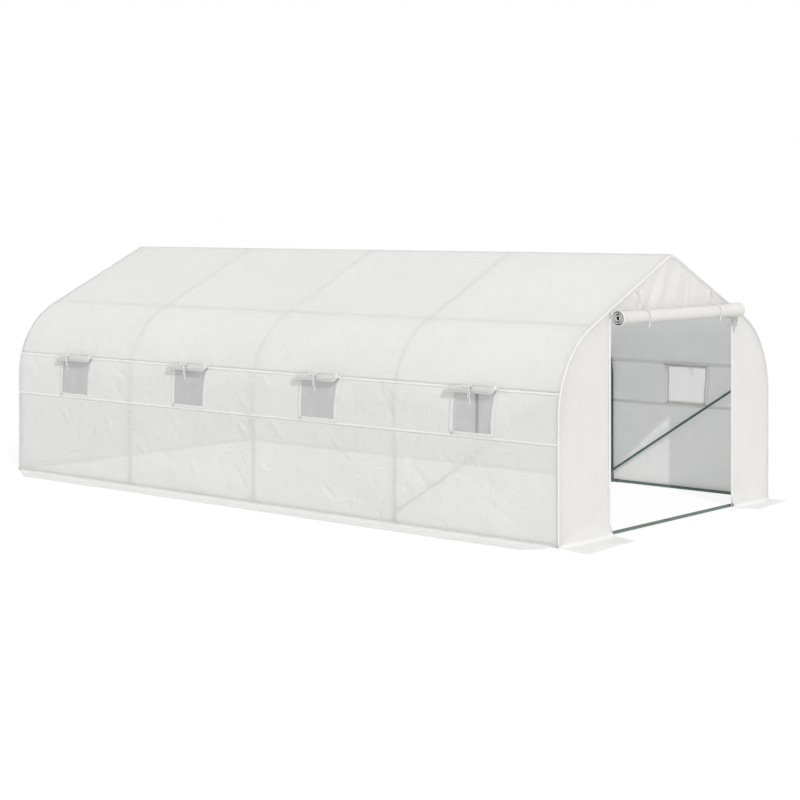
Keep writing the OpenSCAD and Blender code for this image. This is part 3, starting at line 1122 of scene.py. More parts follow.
@dataclass
class Roof:
    """The one sheet that runs from seam to seam over the ridge.

    Attributes:
        form: The tunnel's form.
        drape: How the roof hangs.
        finishes: The shared finishes.
        cell: Size of the sheet's cells.
    """

    form: TunnelForm
    drape: Drape
    finishes: Wardrobe
    cell: float = 0.026

    def build(self) -> None:
        """Builds the roof sheet."""
        low = self.form.run_at_height(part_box("left_window_band")[1].z)
        high = 2 * self.form.half_run - low
        end = self.form.half_l - END_GAP
        cloth = Cloth.of_cell((-end, low + SEAM_GAP), (end, high - SEAM_GAP), self.cell)
        area = cloth.area()
        cloth.lay(self.surface, lambda point: Vector((point.x, 0.0, point.z)))
        piece = add_piece("roof_sheet", cloth.mesh, self.finishes.roof, ["roof_cover"], SHEET_T)

    def surface(self, y: float, run: float) -> Vector:
        """Point on the draped roof, by place along the tunnel and run from the right foot."""
        spot = self.form.station(run)
        out = self.drape.lift(y, run)
        return Vector((spot.x + spot.out_x * out, y, spot.z + spot.out_z * out))


@dataclass
class EndSheet:
    """A sheet of an end wall, with columns that reach up to the outline.

    Attributes:
        name: The piece's name.
        end: Which end.
        form: The tunnel's form.
        finishes: The shared finishes.
        x_range: X of its two upright edges.
        replaces: CAD nodes that it stands for.
        seed: Seed of its wrinkles.
        creases: Its soft folds.
        foot_z: Height of its lower edge.
        reach: How far its ground flap reaches under each upright edge, if it has one.
        flap_x: X of the flap's outer corners.
        pleats: Folds that run on to its outline.
        cove_h: Height over which its foot curves out to the flap.
        cove_w: How far out it has curved when it lies on the ground.
        cell: Size of the sheet's cells along the outline.
        rows: Number of rows of cells up the sheet.
        flap_rows: Number of rows of cells on the flap.
    """

    name: str
    end: End
    form: TunnelForm
    finishes: Wardrobe
    x_range: Pair
    replaces: list[str]
    seed: float
    creases: list[Crease] = field(default_factory=list)
    foot_z: float = 0.0
    reach: tuple[float, ...] = ()
    flap_x: Pair = (0.0, 0.0)
    pleats: list[Crease] = field(default_factory=list)
    cove_h: float = 0.115
    cove_w: float = 0.060
    cell: float = 0.022
    rows: int = 56
    flap_rows: int = 14

    def runs(self) -> Pair:
        """Runs of the outline over the two upright edges, from the right foot."""
        found = []
        for x in self.x_range:
            run = self.form.shoulder_z if abs(x) >= self.form.half_w - NEARLY else self.form.run_at_width(abs(x))
            found.append(run if x >= 0 else 2 * self.form.half_run - run)
        return min(found), max(found)

    def flat(self, run: float, row: float) -> Vector:
        """True flat place of a grid point: across the end, and up from the ground."""
        spot = self.form.station(run)
        return Vector((spot.x, mix(self.foot_z, spot.z, row) if row >= 0 else row * max(self.reach), 0.0))

    def bulge(self, x: float, z: float) -> float:
        """How far the sheet stands out at a point of the end."""
        top = self.form.top_at(x)
        edge = ease((top - z) / 0.10) * ease((self.form.half_w - abs(x)) / 0.08) * ease((z - self.foot_z) / 0.12)
        out = edge * (0.0022 * ripple(x, z, self.seed, 0.36) + 0.0010 * ripple(x, z, self.seed + 4, 0.12))
        out += edge * sum(crease.lift(x, z) for crease in self.creases)
        return out + ease((top - z - 0.025) / 0.05) * sum(pleat.lift(x, z) for pleat in self.pleats)

    def place(self, run: float, row: float) -> Vector:
        """Where a grid point goes.

        Args:
            run: Its run along the outline.
            row: Its share of the way up the wall, or, negative, out on the flap.

        Returns:
            The point in the row frame.
        """
        spot = self.form.station(run)
        sign, wall = self.end.sign, self.form.half_l
        corner = mix(0.1, 1.0, ease((self.form.half_w - abs(spot.x)) / 0.16))
        cove_w = self.cove_w * corner
        if row >= 0:
            z = mix(self.foot_z, spot.z, row)
            cove = self.cove_h * corner * (1 + 0.45 * ripple(spot.x, 0.0, self.seed + 4, 0.26))
            if not self.reach or z >= cove:
                return Vector((spot.x, sign * (wall + self.bulge(spot.x, z)), z))
            angle = QUARTER_TURN * (1 - z / cove)
            out = cove_w * (1 - cos(angle)) + self.bulge(spot.x, z) * z / cove
            return Vector((spot.x, sign * (wall + out), cove * (1 - sin(angle)) + SHEET_T))
        share = -row
        low, high = self.x_range
        across = (spot.x - low) / (high - low)
        x = mix(spot.x, mix(*self.flap_x, across), ease(share * 1.4))
        reach = mix(*self.reach, across) + 0.010 * ripple(x, 0.0, self.seed + 2, 0.15) * share
        out = cove_w + share * (reach - cove_w)
        free = ease(share * 4) * (0.35 + 0.65 * ease((1 - share) * 5))
        rise = 0.011 * free * max(0.0, ripple(x, 1.6 * out, self.seed + 8, 0.20))
        rise += 0.0020 * (1 + ripple(x, out, self.seed + 11, 0.07)) * ease(share * 3)
        return Vector((x, sign * (wall + out), SHEET_T + rise))

    def build(self, *sewn_on: Piece) -> None:
        """Builds the sheet."""
        low, high = self.runs()
        flap_rows = self.flap_rows if self.reach else 0
        columns = max(8, round((high - low) / self.cell))
        cloth = Cloth((low, -1.0 if self.reach else 0.0), (high, 1.0), (columns, self.rows + flap_rows))
        if self.reach:
            self._even_rows(cloth)
        cloth.lay(self.place, lambda point: Vector((0.0, self.end.sign, 0.4)), self.flat)
        piece = add_piece(self.name, cloth.mesh, self.finishes.ends, self.replaces, SHEET_T)
        tall = max(self.form.station(low + (high - low) * i / 40).z for i in range(41)) - self.foot_z
        tall + max(self.reach, default=0.0)
        self._flat_area()
        [side.of(part) for side in Side for part in ("bends", "rafters")]

    def _even_rows(self, cloth: Cloth) -> None:
        """Shares the grid's rows between the wall and the flap."""
        for vert in cloth.mesh.verts:
            row = round((vert.co.y + 1) / 2 * (self.rows + self.flap_rows)) - self.flap_rows
            vert.co.y = row / self.flap_rows if row < 0 else (row / self.rows) ** 1.5

    def _flat_area(self) -> float:
        """Area of the flat cut."""
        steps = 200
        low, high = sorted(self.x_range)
        width = (high - low) / steps
        wall = sum(self.form.top_at(low + (i + 0.5) * width) - self.foot_z for i in range(steps)) * width
        return wall + sum(self.reach) / 2 * (high - low + abs(self.flap_x[1] - self.flap_x[0])) / 2


# ---- Windows ----


@dataclass(frozen=True)
class Winding:
    """Cross-section of a rolled sheet: it comes down the wall, goes under the roll and winds inwards.

    Attributes:
        outer_r: Radius of the outermost ply.
        core_r: Radius of the innermost ply.
        turns: Number of turns.
        plies: Number of plies that lie tight together before a looser gap.
        tight: Distance between two tight plies.
        tail: Length of sheet from the roll up to its seam.
        steps: Steps in one turn.
    """

    outer_r: float
    core_r: float
    turns: float
    plies: float
    tight: float
    tail: float
    steps: int = 36

    def radius(self, turn: float) -> float:
        """Radius of the sheet after a number of turns."""
        group = (self.outer_r - self.core_r) / (self.turns / self.plies)
        done, within = divmod(turn, self.plies)
        jump = (group - self.tight * self.plies) * ease((within - self.plies + 0.3) / 0.3)
        return max(self.core_r, self.outer_r - done * group - self.tight * within - jump)

    def curve(self) -> list[tuple[float, float, float]]:
        """Points from the seam to the core.

        Returns:
            Distance away from the wall's side of the roll's centre, height over the centre, and depth in the roll.
        """
        points = [(-self.outer_r, self.tail * (1 - i / 6), 0.0) for i in range(6)]
        for i in range(round(self.turns * self.steps) + 1):
            turn = i / self.steps
            angle, radius = HALF_TURN + FULL_TURN * turn, self.radius(turn)
            points.append((radius * cos(angle), radius * sin(angle), turn / self.turns))
        return points

    def runs(self) -> list[float]:
        """Length of the sheet from its seam to each point of the curve."""
        points, found = self.curve(), [0.0]
        for a, b in zip(points, points[1:]):
            found.append(found[-1] + dist(a[:2], b[:2]))
        return found

    def wind(self, span: Pair, cells: int, centre: Centre, axis: Vector, away: Vector,
             binding_w: float = 0.012) -> Mesh:
        """Winds a sheet into a roll.

        Args:
            span: Ends of the roll along its axis.
            cells: Number of cells along the axis.
            centre: Centre of the roll and a scale of its cross-section, at a place along its axis.
            axis: Direction of the roll's axis.
            away: Direction away from the wall that it hangs on.
            binding_w: Width of the bound edges.

        Returns:
            The open sheet, with its depth in the roll as an attribute that masks the painted shade of its inner
            plies.
        """
        curve, runs = self.curve(), self.runs()
        cloth = Cloth((span[0], 0.0), (span[1], float(len(curve) - 1)), (cells, len(curve) - 1))
        layers = cloth.mesh.verts.layers.float
        ply_shade_layer, bound_layer = [layers.new(name) for name in ("painted_ply_shade", "binding")]
        for vert in cloth.mesh.verts:
            edge = min(vert.co.x - span[0], span[1] - vert.co.x)
            # Painted shade: plies deep in the roll are marked for a darker colour, standing in for the shade between
            # them.
            vert[ply_shade_layer] = ease((curve[round(vert.co.y)][2] - 0.12) / 0.05)
            vert[bound_layer] = 1.0 - ease((edge - binding_w) / 0.004)

        def place(along: float, index: float) -> Vector:
            """Where a point of the sheet goes."""
            x, z, _ = curve[round(index)]
            middle, scale = centre(along)
            return middle + along * axis + scale * (x * away + z * UP)

        cloth.lay(place, lambda point: point - centre(point.dot(axis))[0] - point.dot(axis) * axis,
                  lambda along, index: Vector((along, runs[round(index)], 0.0)))
        return cloth.mesh


@dataclass
class Windows:
    """The meshed windows of one side, with their rolled-up flaps and ties.

    Attributes:
        cover: The side's cover.
        finishes: The shared finishes.
        mesh_t: Thickness of the insect mesh.
        lap: How far the mesh runs on past its opening at the sides, below and above.
        slack: How far the mesh sags inwards between its sewn edges.
        curl: How far the front end of a roll curls up.
        taper: How much of its thickness the roll loses at its front end.
        pinch: How much of its thickness it loses under its tie.
        tie_half: Half of a tie's width.
        tail_l: Length of a tie's hanging tails.
        tie_places: Place of each tie along its roll, from the roll's middle, front to back.
    """

    cover: SideCover
    finishes: Wardrobe
    mesh_t: float = 0.0008
    lap: tuple[float, float, float] = (0.012, 0.004, 0.006)
    slack: float = 0.003
    curl: float = 0.027
    taper: float = 0.36
    pinch: float = 0.10
    tie_half: float = 0.0055
    tail_l: float = 0.085
    tie_places: tuple[float, ...] = (0.0, 0.004, 0.012, 0.065)

    def __post_init__(self) -> None:
        """Reads the rolls' place from the frame."""
        self.side = self.cover.side
        low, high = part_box(self.side.of("window_rolls"))
        self.centre_x = abs(low.x + high.x) / 2
        self.centre_z = (low.z + high.z) / 2
        self.radius = (high.z - low.z) / 2
        self.half_l = high.y - self.cover.form.bay_middles[-1]

    def screen(self, number: int, y: float) -> None:
        """Builds the insect mesh of one window.

        Args:
            number: The window's number from the front.
            y: Middle of the window.
        """
        cover = self.cover
        beside, below, above = self.lap
        half = cover.window_half + beside
        low, high = cover.window_z[0] - below, cover.form.run_at_height(cover.window_z[1]) + above
        cloth = Cloth((y - half, low), (y + half, high), (16, 14))

        def place(along: float, run: float) -> Vector:
            """Hangs a little slack between its sewn edges."""
            dip = cos(QUARTER_TURN * (along - y) / half) * sin(HALF_TURN * (run - low) / (high - low))
            return cover.surface(along, run, -0.0016 - self.slack * dip)

        cloth.lay(place, cover.outward)
        piece = add_piece(self.side.of(f"window_mesh_{number}"), cloth.mesh, self.finishes.mesh,
                          [self.side.of("window_meshes")], self.mesh_t)
        self.side.of("band_sheet")

    def roll(self, number: int, y: float, tie: float) -> None:
        """Builds the rolled-up flap of one window.

        Args:
            number: The window's number from the front.
            y: Middle of the window.
            tie: Place of its tie, which pinches the roll.
        """
        sign = self.side.sign

        def centre(along: float) -> tuple[Vector, float]:
            """Centre and scale at a place along the roll."""
            to_front, to_back = clamp((y - along) / self.half_l), clamp((along - y) / self.half_l)
            rise = self.curl * ease((to_front - 0.70) / 0.34) - 0.005 * to_back ** 2
            sway = 0.0014 * ripple(along, y, 2.0, 0.12)
            scale = 0.90 + 0.035 * ripple(along, y, 6.0, 0.10) - self.taper * ease((to_front - 0.74) / 0.24)
            scale -= self.pinch * bell(along - tie, 0.020)
            return Vector((sign * (self.centre_x + sway), 0.0, self.centre_z + rise + sway)), scale

        winding = Winding(self.radius, core_r=0.018, turns=2.6, plies=2.6, tight=0.0055, tail=0.018)
        mesh = winding.wind((y - self.half_l, y + self.half_l), 34, centre, ALONG, sign * ACROSS)
        piece = add_piece(self.side.of(f"window_roll_{number}"), mesh, self.finishes.rolled_flap,
                          [self.side.of("window_rolls")], 0.0022)
        winding.runs()[-1]
        self.side.of("band_sheet")

    def tie(self, number: int, y: float) -> None:
        """Builds the webbing tie of one roll: a band round it, a bow and two hanging tails.

        Args:
            number: The window's number from the front.
            y: Place of the tie.
        """
        sign = self.side.sign
        reach = self.radius + 0.0018

        def spot(degrees: float, distance: float, shift: float = 0.0, drop: float = 0.0) -> Vector:
            """Point round the roll: angle up from straight out, distance from its centre, and drop below that."""
            out = Vector((sign * (self.centre_x + distance * cos(radians(degrees))), y + shift,
                          self.centre_z + distance * sin(radians(degrees))))
            return out - Vector((0.0, 0.0, drop))

        band = [spot(mix(150, -128, i / 24), 0.97 * reach) for i in range(25)]
        mesh = sweep(bmesh.new(), band, ALONG, self.tie_half, 0.0009)
        knot = spot(52, reach + 0.004)
        bow = ((0.010, 0.020, 0.010), (0.013, 0.040, 0.004), (0.010, 0.034, -0.010), (0.006, 0.012, -0.004))
        for turn, tail_l in ((-1, self.tail_l), (1, 0.50 * self.tail_l)):
            loop = [knot, *(knot + Vector((sign * out, turn * wide, up)) for out, wide, up in bow), knot]
            sweep(mesh, smooth_path(loop, 5), Vector((sign, 0.0, 0.6)), 0.0042, 0.0008)
            tail = [
                knot + Vector((0.0, turn * 0.002, 0.0)),
                spot(20, reach + 0.004, turn * 0.004),
                spot(-15, reach + 0.003, turn * 0.006),
                spot(-30, reach + 0.004, turn * 0.007, 0.35 * tail_l),
                spot(-35, reach + 0.002, turn * 0.011, tail_l),
            ]
            sweep(mesh, smooth_path(tail, 5), ALONG, 0.0033, 0.0008)
        bmesh.ops.create_uvsphere(mesh, u_segments=12, v_segments=8, radius=0.0085,
                                  matrix=Matrix.Translation(knot) @ Matrix.Diagonal((0.75, 1.15, 0.9, 1.0)))
        add_piece(self.side.of(f"window_tie_{number}"), settle(mesh), self.finishes.tie,
                  replaces=[self.side.of("window_ties")])

    def build(self) -> None:
        """Builds every window of the side."""
        for number, (y, place) in enumerate(zip(self.cover.windows, self.tie_places), start=1):
            self.screen(number, y)
            self.roll(number, y, y + place)
            self.tie(number, y + place)


# ---- Ends and door ----


@dataclass
class Door:
    """The door, wound up under the gable, with its ties.

    Attributes:
        form: The tunnel's form.
        finishes: The shared finishes.
        turns: Number of turns that the door makes in its roll.
        tie_half: Half of a tie's width.
        stray: How far the ties sit to the right of true.
        wander: How far each end of the roll sits to the right of true, left end first.
        hang: How far the roll hangs forward of true.
        sag: How far its middle sags.
        gather: Step out, step up and down, and length of the gathered tape under the roll's end.
    """

    form: TunnelForm
    finishes: Wardrobe
    turns: float = 8.6
    tie_half: float = 0.0065
    stray: float = 0.05
    wander: Pair = (0.060, 0.015)
    hang: float = 0.004
    sag: float = 0.004
    gather: tuple[float, float, float] = (0.004, 0.010, 0.082)

    def __post_init__(self) -> None:
        """Reads the roll's place from the frame."""
        low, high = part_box("door_roll")
        self.half_w = high.x
        self.centre_y = (low.y + high.y) / 2
        self.centre_z = (low.z + high.z) / 2
        self.radius = (high.z - low.z) / 2
        self.tie_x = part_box("door_ties")[1].x - 0.009
        self.span = (self.wander[0] - self.half_w, self.wander[1] + self.half_w)

    def middle(self, along: float) -> tuple[Vector, float]:
        """Centre of the roll and the scale of its cross-section at a place across the door."""
        sag = self.sag * cos(QUARTER_TURN * along / self.half_w)
        sway = 0.0012 * ripple(along, 0.0, 4.0, 0.20)
        low, high = self.span
        flare = 0.11 * ease((low + 0.075 - along) / 0.06) + 0.15 * ease((along - high + 0.18) / 0.09)
        flare -= 0.09 * ease((along - high + 0.018) / 0.018)
        ties = bell(abs(along - self.stray) - self.tie_x, 0.03)
        scale = 0.965 + 0.018 * ripple(along, 0.0, 8.0, 0.16) - 0.050 * ties + flare
        return Vector((0.0, self.centre_y + sway - self.hang - 0.045 * flare, self.centre_z - sag)), scale

    def roll(self) -> None:
        """Builds the door itself, as one wound sheet."""
        winding = Winding(self.radius, core_r=0.007, turns=self.turns, plies=2.9, tight=0.0021, tail=0.045)
        mesh = winding.wind(self.span, 110, self.middle, ACROSS, -ALONG, binding_w=0.0015)
        piece = add_piece("door_sheet", mesh, self.finishes.rolled_door, ["door_roll"], 0.0015)
        winding.runs()[-1]

    def tie(self, side: Side) -> None:
        """Builds the webbing tie round the roll at one side."""
        x = side.sign * self.tie_x + self.stray
        reach = self.radius + 0.0030
        y, z = self.centre_y - self.hang, self.centre_z
        points = []
        for i in range(25):
            angle = radians(mix(125, -112, i / 24))
            points.append(Vector((x - 0.016 * i / 24, y - reach * cos(angle), z + reach * sin(angle))))
        mesh = sweep(bmesh.new(), points, ACROSS, self.tie_half, 0.0010)
        front = Vector((x - 0.010, y - 0.80 * reach, z - 0.62 * reach))
        tail = [front, front + Vector((-0.004, -0.004, -0.020)), front + Vector((-0.010, 0.002, -0.046))]
        sweep(mesh, smooth_path(tail, 6), ACROSS, self.tie_half * 0.9, 0.0010)
        add_piece(side.of("door_tie"), mesh, self.finishes.tie, replaces=["door_ties"])

    def gathered_end(self) -> None:
        """Builds the gathered end of the door's edge tape, hanging under the right end of the roll."""
        top = Vector((self.half_w + 0.006, self.centre_y + 0.012, self.centre_z - self.radius - 0.004))
        out, deep, length = self.gather
        points = [top + Vector((out * (-1) ** i, -deep * (-1) ** i, -length * i / 10)) for i in range(11)]
        mesh = sweep(bmesh.new(), smooth_path(points, 4), ACROSS, 0.019, 0.0016)
        add_piece("door_edge_gather", mesh, self.finishes.tie)

    def build(self) -> None:
        """Builds the rolled door and its ties."""
        self.roll()
        for side in Side:
            self.tie(side)
        self.gathered_end()


@dataclass
class EndWalls:
    """Both ends: jambs and gable at the front, the closed sheet at the back, their hems and piping.

    Attributes:
        form: The tunnel's form.
        finishes: The shared finishes.
        cord_r: Radius of the piping's cord.
        binding_w: Width of the binding on each side of the cord.
        hem_w: Width of the doorway's hems.
        door_stray: How far the doorway's left and right edges sit to the right of true.
        flaps: Reach and outer corners' X of the two front flaps, left and right.
        jamb_folds: Folds of a jamb: x, z, degrees, length, width and depth, all but z turned over on the left.
        gathers: Sharp pleats just over the rolled door and the soft waves between them, in the same terms.
    """

    form: TunnelForm
    finishes: Wardrobe
    cord_r: float = 0.0050
    binding_w: float = 0.007
    hem_w: float = 0.022
    door_stray: Pair = (0.017, 0.026)
    flaps: tuple[tuple[Pair, Pair], ...] = (((0.24, 0.29), (-0.87, -1.51)), ((0.215, 0.165), (0.94, 1.47)))
    jamb_folds: tuple[tuple[float, ...], ...] = (
        (0.92, 0.34, -62, 0.20, 0.016, 0.004), (0.98, 0.20, -40, 0.16, 0.014, -0.004),
        (1.10, 0.46, 75, 0.24, 0.018, 0.003), (1.22, 0.86, 84, 0.34, 0.020, 0.003),
    )
    gathers: tuple[tuple[float, ...], ...] = (
        (-0.450, 1.690, -67, 0.095, 0.010, -0.034), (-0.492, 1.695, -72, 0.085, 0.013, 0.016),
        (-0.400, 1.690, -80, 0.095, 0.014, 0.017), (-0.560, 1.668, -68, 0.065, 0.010, -0.008),
        (0.185, 1.700, 90, 0.095, 0.010, -0.017), (0.222, 1.700, 88, 0.095, 0.015, 0.009),
        (0.580, 1.685, -64, 0.090, 0.010, -0.030), (0.625, 1.685, -66, 0.070, 0.013, 0.014),
        (0.692, 1.665, -58, 0.050, 0.010, -0.018), (0.530, 1.690, -70, 0.085, 0.014, 0.013),
        (-0.150, 1.760, 66, 0.24, 0.055, 0.009), (-0.040, 1.790, 66, 0.24, 0.055, -0.007),
        (0.090, 1.800, 78, 0.20, 0.045, 0.009), (-0.270, 1.730, 66, 0.18, 0.040, -0.009),
        (0.340, 1.750, -75, 0.16, 0.045, 0.008),
    )

    def __post_init__(self) -> None:
        """Reads the doorway and the back flap from the frame."""
        self.door_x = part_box("front_right_panel")[0].x
        self.door_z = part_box("front_gable")[0].z
        self.back_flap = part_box("back_ground_flap")[1].y - self.form.half_l
        self.door_edges = [side.sign * self.door_x + stray for side, stray in zip(Side, self.door_stray)]

    def jamb(self, side: Side, door_x: float, flap: tuple[Pair, Pair]) -> None:
        """Builds the sheet beside the doorway, with its ground flap and its white hem with the zip.

        Args:
            side: Which side of the doorway.
            door_x: X of the doorway's edge, where the sheet is drawn out of true.
            flap: Reach of the flap, and X of its outer corners.
        """
        sign = side.sign
        creases = [Crease(sign * x, z, radians(sign * turn), *sizes) for x, z, turn, *sizes in self.jamb_folds]
        x, y = door_x + sign * 0.004, -self.form.half_l - 0.0022
        heights = [self.door_z * i / 24 + 0.004 for i in range(25)]
        mesh = sweep(bmesh.new(), [Vector((x + sign * self.hem_w / 2, y, z)) for z in heights], ACROSS,
                     self.hem_w / 2, 0.0013)
        sweep(mesh, [Vector((x - sign * 0.001, y - 0.001, z)) for z in heights], ACROSS, 0.0032, 0.0030)
        hem = add_piece(f"front_{side.of('door_hem')}", mesh, self.finishes.tape)
        EndSheet(
            f"front_{side.of('jamb_sheet')}", End.FRONT, self.form, self.finishes,
            (door_x, sign * self.form.half_w), [f"front_{side.of('panel')}", f"front_{side.of('ground_flap')}"],
            20.0 + sign, creases, reach=flap[0], flap_x=flap[1],
        ).build(hem)

    def gable(self) -> None:
        """Builds the sheet over the doorway, pleated where it was gathered to the door."""
        pleats = [Crease(x, z, radians(turn), *sizes) for x, z, turn, *sizes in self.gathers]
        EndSheet("gable_sheet", End.FRONT, self.form, self.finishes, tuple(self.door_edges), ["front_gable"], 31.0,
                 foot_z=self.door_z, pleats=pleats, cell=0.009, rows=44).build()

    def back(self) -> None:
        """Builds the closed sheet of the back end, with its ground flap and the flat seam down its middle."""
        rng = random.Random(77)
        creases = [
            Crease(rng.uniform(-1.2, 1.2), rng.uniform(0.15, 1.5), radians(rng.uniform(-70, 70)),
                   rng.uniform(0.12, 0.3), rng.uniform(0.012, 0.02), 0.004 * rng.uniform(-1, 1))
            for _ in range(22)
        ]
        y, top = self.form.half_l + 0.0024, self.form.height - 0.03
        path = [Vector((0.0, y, mix(0.03, top, i / 40))) for i in range(41)]
        seam = add_piece("back_seam_tape", sweep(bmesh.new(), path, ACROSS, 0.012, 0.0013), self.finishes.tape)
        half_w, flap = self.form.half_w, self.back_flap
        EndSheet("back_sheet", End.BACK, self.form, self.finishes, (-half_w, half_w),
                 ["back_panel", "back_ground_flap"], 41.0, creases, reach=(flap, flap),
                 flap_x=(-half_w + flap, half_w - flap)).build(seam)

    def outline_path(self, inset: float, y: float, foot: float = 0.004) -> list[Vector]:
        """Path along the whole outline, moved inwards by inset, at one place along the tunnel."""
        form = self.form
        points = []
        for i in range(181):
            spot = form.station(foot + (2 * form.half_run - 2 * foot) * i / 180)
            z = min(spot.z - inset * spot.out_z, form.height - 0.016 - max(0.0, inset))
            points.append(Vector((spot.x - inset * spot.out_x, y, z)))
        return points

    def piping(self, end: End) -> None:
        """Builds the cord in the corner between roof and end, then its flat binding on the end and on the cover."""
        sign, half_l, half = end.sign, self.form.half_l, self.binding_w / 2
        cord = self.outline_path(-0.0022, sign * (half_l - 0.0005))
        add_piece(f"{end.value}_piping_cord", sweep(bmesh.new(), cord, ALONG, self.cord_r, self.cord_r, sides=10),
                  self.finishes.tape, replaces=[f"{end.value}_piping"])
        first = self.form.station(0.012)
        on_end = self.outline_path(half + 0.002, sign * (half_l + 0.0016))
        mesh = sweep(bmesh.new(), on_end, Vector((first.out_x, 0.0, first.out_z)), half, 0.0010)
        sweep(mesh, self.outline_path(-0.0012, sign * (half_l - half - 0.003)), ALONG, half, 0.0010)
        add_piece(f"{end.value}_binding", mesh, self.finishes.tape)

    def build(self) -> None:
        """Builds both ends."""
        for side, door_x, flap in zip(Side, self.door_edges, self.flaps):
            self.jamb(side, door_x, flap)
        self.gable()
        self.back()
        for end in End:
            self.piping(end)


# ---- Frame ----


@dataclass
class TubeFrame:
    """Finishes of the CAD tubes and fittings, and the bolts that hold them.

    Attributes:
        form: The tunnel's form.
        finishes: The shared finishes.
        head_r: Radius of a bolt's hexagon head.
        head_h: Height of a bolt's head.
        washer_t: Thickness of a washer.
    """

    form: TunnelForm
    finishes: Wardrobe
    head_r: float = 0.0062
    head_h: float = 0.0042
    washer_t: float = 0.0014

    TUBES = ("posts", "bends", "rafters", "eave_purlin", "base_rail", "braces")
    FITTINGS = ("eave_fittings", "foot_fittings")

    def dress(self) -> None:
        """Gives every tube and fitting its coat."""
        for parts, middle, coat in (
            (self.TUBES, ("ridge_purlin", "front_base_rail", "back_base_rail"), self.finishes.tube),
            (self.FITTINGS, ("ridge_fittings",), self.finishes.fitting),
        ):
            for name in [*(side.of(part) for side in Side for part in parts), *middle]:
                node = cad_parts[name]
                if not node.material_slots:
                    node.data.materials.append(coat)
                for place in node.material_slots:
                    place.material = coat
                LOG.info("node %s keeps its shape, finish %s", name, coat.name)

    def bolt(self, mesh: Mesh, point: Vector, out: Vector) -> None:
        """Adds one washer, hexagon head and stub that stand on a fitting.

        Args:
            mesh: The mesh that it is added to.
            point: Middle of the washer's underside.
            out: Direction of the bolt.
        """
        here = Matrix.Translation(point) @ UP.rotation_difference(out.normalized()).to_matrix().to_4x4()
        parts = ((1.35 * self.head_r, self.washer_t, 16, self.washer_t / 2),
                 (self.head_r, self.head_h, 6, self.washer_t + self.head_h / 2),
                 (0.5 * self.head_r, 0.003, 12, self.washer_t + self.head_h + 0.0012))
        for radius, height, sides, middle in parts:
            bmesh.ops.create_cone(mesh, cap_ends=True, segments=sides, radius1=radius, radius2=0.94 * radius,
                                  depth=height, matrix=here @ Matrix.Translation((0.0, 0.0, middle)))

    def bolts(self) -> None:
        """Builds all bolts of the feet and the ridge, as one piece."""
        mesh = bmesh.new()
        foot_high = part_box("right_foot_fittings")[1]
        ridge_low, ridge_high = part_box("ridge_fittings")
        post_x = (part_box("right_posts")[0].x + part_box("right_posts")[1].x) / 2
        fitting_r = foot_high.x - post_x
        for side in Side:
            inward = -side.sign * ACROSS
            slope = Vector((-side.sign * cos(self.form.roof_pitch), 0.0, sin(self.form.roof_pitch)))
            under = Vector((slope.z * -side.sign, 0.0, -abs(slope.x)))
            for y in self.form.hoops:
                foot = Vector((side.sign * post_x, y, foot_high.z - 0.014))
                self.bolt(mesh, foot + fitting_r * inward, inward)
                hub = Vector((0.0, y, (ridge_low.z + ridge_high.z) / 2 + 0.012))
                self.bolt(mesh, hub - 0.054 * slope + fitting_r * under, under)
        add_piece("frame_bolts", mesh, self.finishes.zinc)

    def build(self) -> None:
        """Dresses the frame and adds its bolts."""
        self.dress()
        self.bolts()


# ---- Stage ----


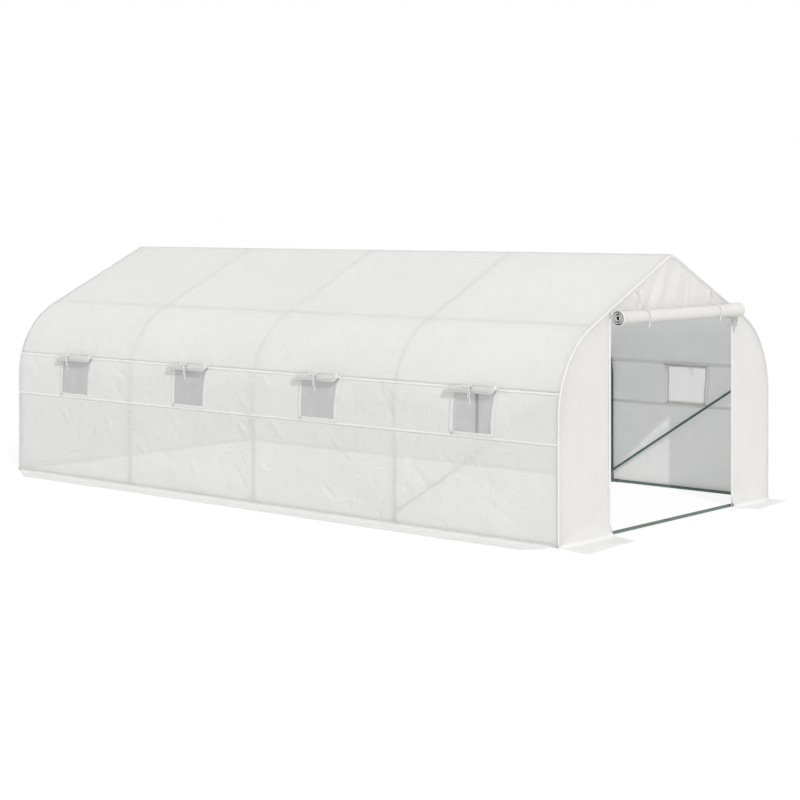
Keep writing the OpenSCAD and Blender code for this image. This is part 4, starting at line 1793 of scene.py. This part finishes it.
@dataclass
class Stage:
    """Floor, daylight and camera.

    Attributes:
        finishes: The shared finishes.
        sky: Strength of the even light from all round.
        sun: Strength of the soft sun.
        sun_way: Direction in which the sun's light travels.
        sun_size: Angle of the sun's disc in degrees, which softens its shadows.
        eye: Place of the camera.
        heading: Direction that the camera looks in, in degrees clockwise from +Y.
        lens: Focal length in millimetres.
        rise: Vertical shift of the lens, as a share of the frame.
        floor_size: Half of the floor's width.
    """

    finishes: Wardrobe
    sky: float = 0.74
    sun: float = 1.65
    sun_way: tuple[float, float, float] = (0.629, 1.0, -0.887)
    sun_size: float = 0.45
    eye: tuple[float, float, float] = (-11.588, -10.252, 2.266)
    heading: float = 49.356
    lens: float = 80.87
    rise: float = -0.2245
    floor_size: float = 60.0

    def camera(self) -> None:
        """Adds a camera that looks level along its heading, with a shifted lens."""
        data = bpy.data.cameras.new("camera")
        data.lens = self.lens
        data.sensor_width = 36.0
        data.shift_y = self.rise
        camera = bpy.data.objects.new("camera", data)
        camera.location = self.eye
        camera.rotation_euler = (QUARTER_TURN, 0.0, -radians(self.heading))
        bpy.context.scene.collection.objects.link(camera)
        bpy.context.scene.camera = camera

    def floor(self) -> None:
        """Adds a wide white floor."""
        mesh = bmesh.new()
        bmesh.ops.create_grid(mesh, x_segments=1, y_segments=1, size=self.floor_size)
        add_object("floor", mesh, self.finishes.floor)

    def lights(self) -> None:
        """Adds a soft sun from the front left, and an even sky that looks white."""
        data = bpy.data.lights.new("sun", "SUN")
        data.energy = self.sun
        data.angle = radians(self.sun_size)
        sun = bpy.data.objects.new("sun", data)
        sun.rotation_euler = Vector(self.sun_way).to_track_quat("-Z", "Y").to_euler()
        bpy.context.scene.collection.objects.link(sun)
        g = Graph(bpy.data.worlds.new("daylight"))
        lit, shown = [g.plain("Background", WHITE[:3], {"Strength": strength}) for strength in (self.sky, 1.0)]
        seen = g.rays("Is Camera Ray", "Is Transmission Ray")
        g.node("OutputWorld", {"Surface": g.mixed(seen, lit, shown)})
        bpy.context.scene.world = g.owner

    def build(self) -> None:
        """Sets the stage."""
        self.camera()
        self.floor()
        self.lights()
        bpy.context.scene.view_settings.view_transform = "Standard"


def main() -> None:
    """Builds the greenhouse on its stage, piece by piece."""
    logging.basicConfig(level=logging.INFO, format="%(message)s")
    finishes = Wardrobe()
    form = TunnelForm.from_frame()
    Stage(finishes).build()
    TubeFrame(form, finishes).build()
    roof_drape = Drape(form, seed=11)
    low_run = form.eave_run - ROOF_FOLD_LAP
    roof_drape.scatter(count=70, low_run=low_run, high_run=2 * form.half_run - low_run, depth=0.005)
    Roof(form, roof_drape, finishes).build()
    for side in Side:
        drape = Drape(form, seed=11, creases=list(roof_drape.creases))
        drape.scatter(count=90, low_run=0.10, high_run=1.05, depth=0.0065)
        cover = SideCover(side, form, drape, finishes)
        cover.build()
        Windows(cover, finishes).build()
    EndWalls(form, finishes).build()
    Door(form, finishes).build()


if __name__ == "__main__":
    main()
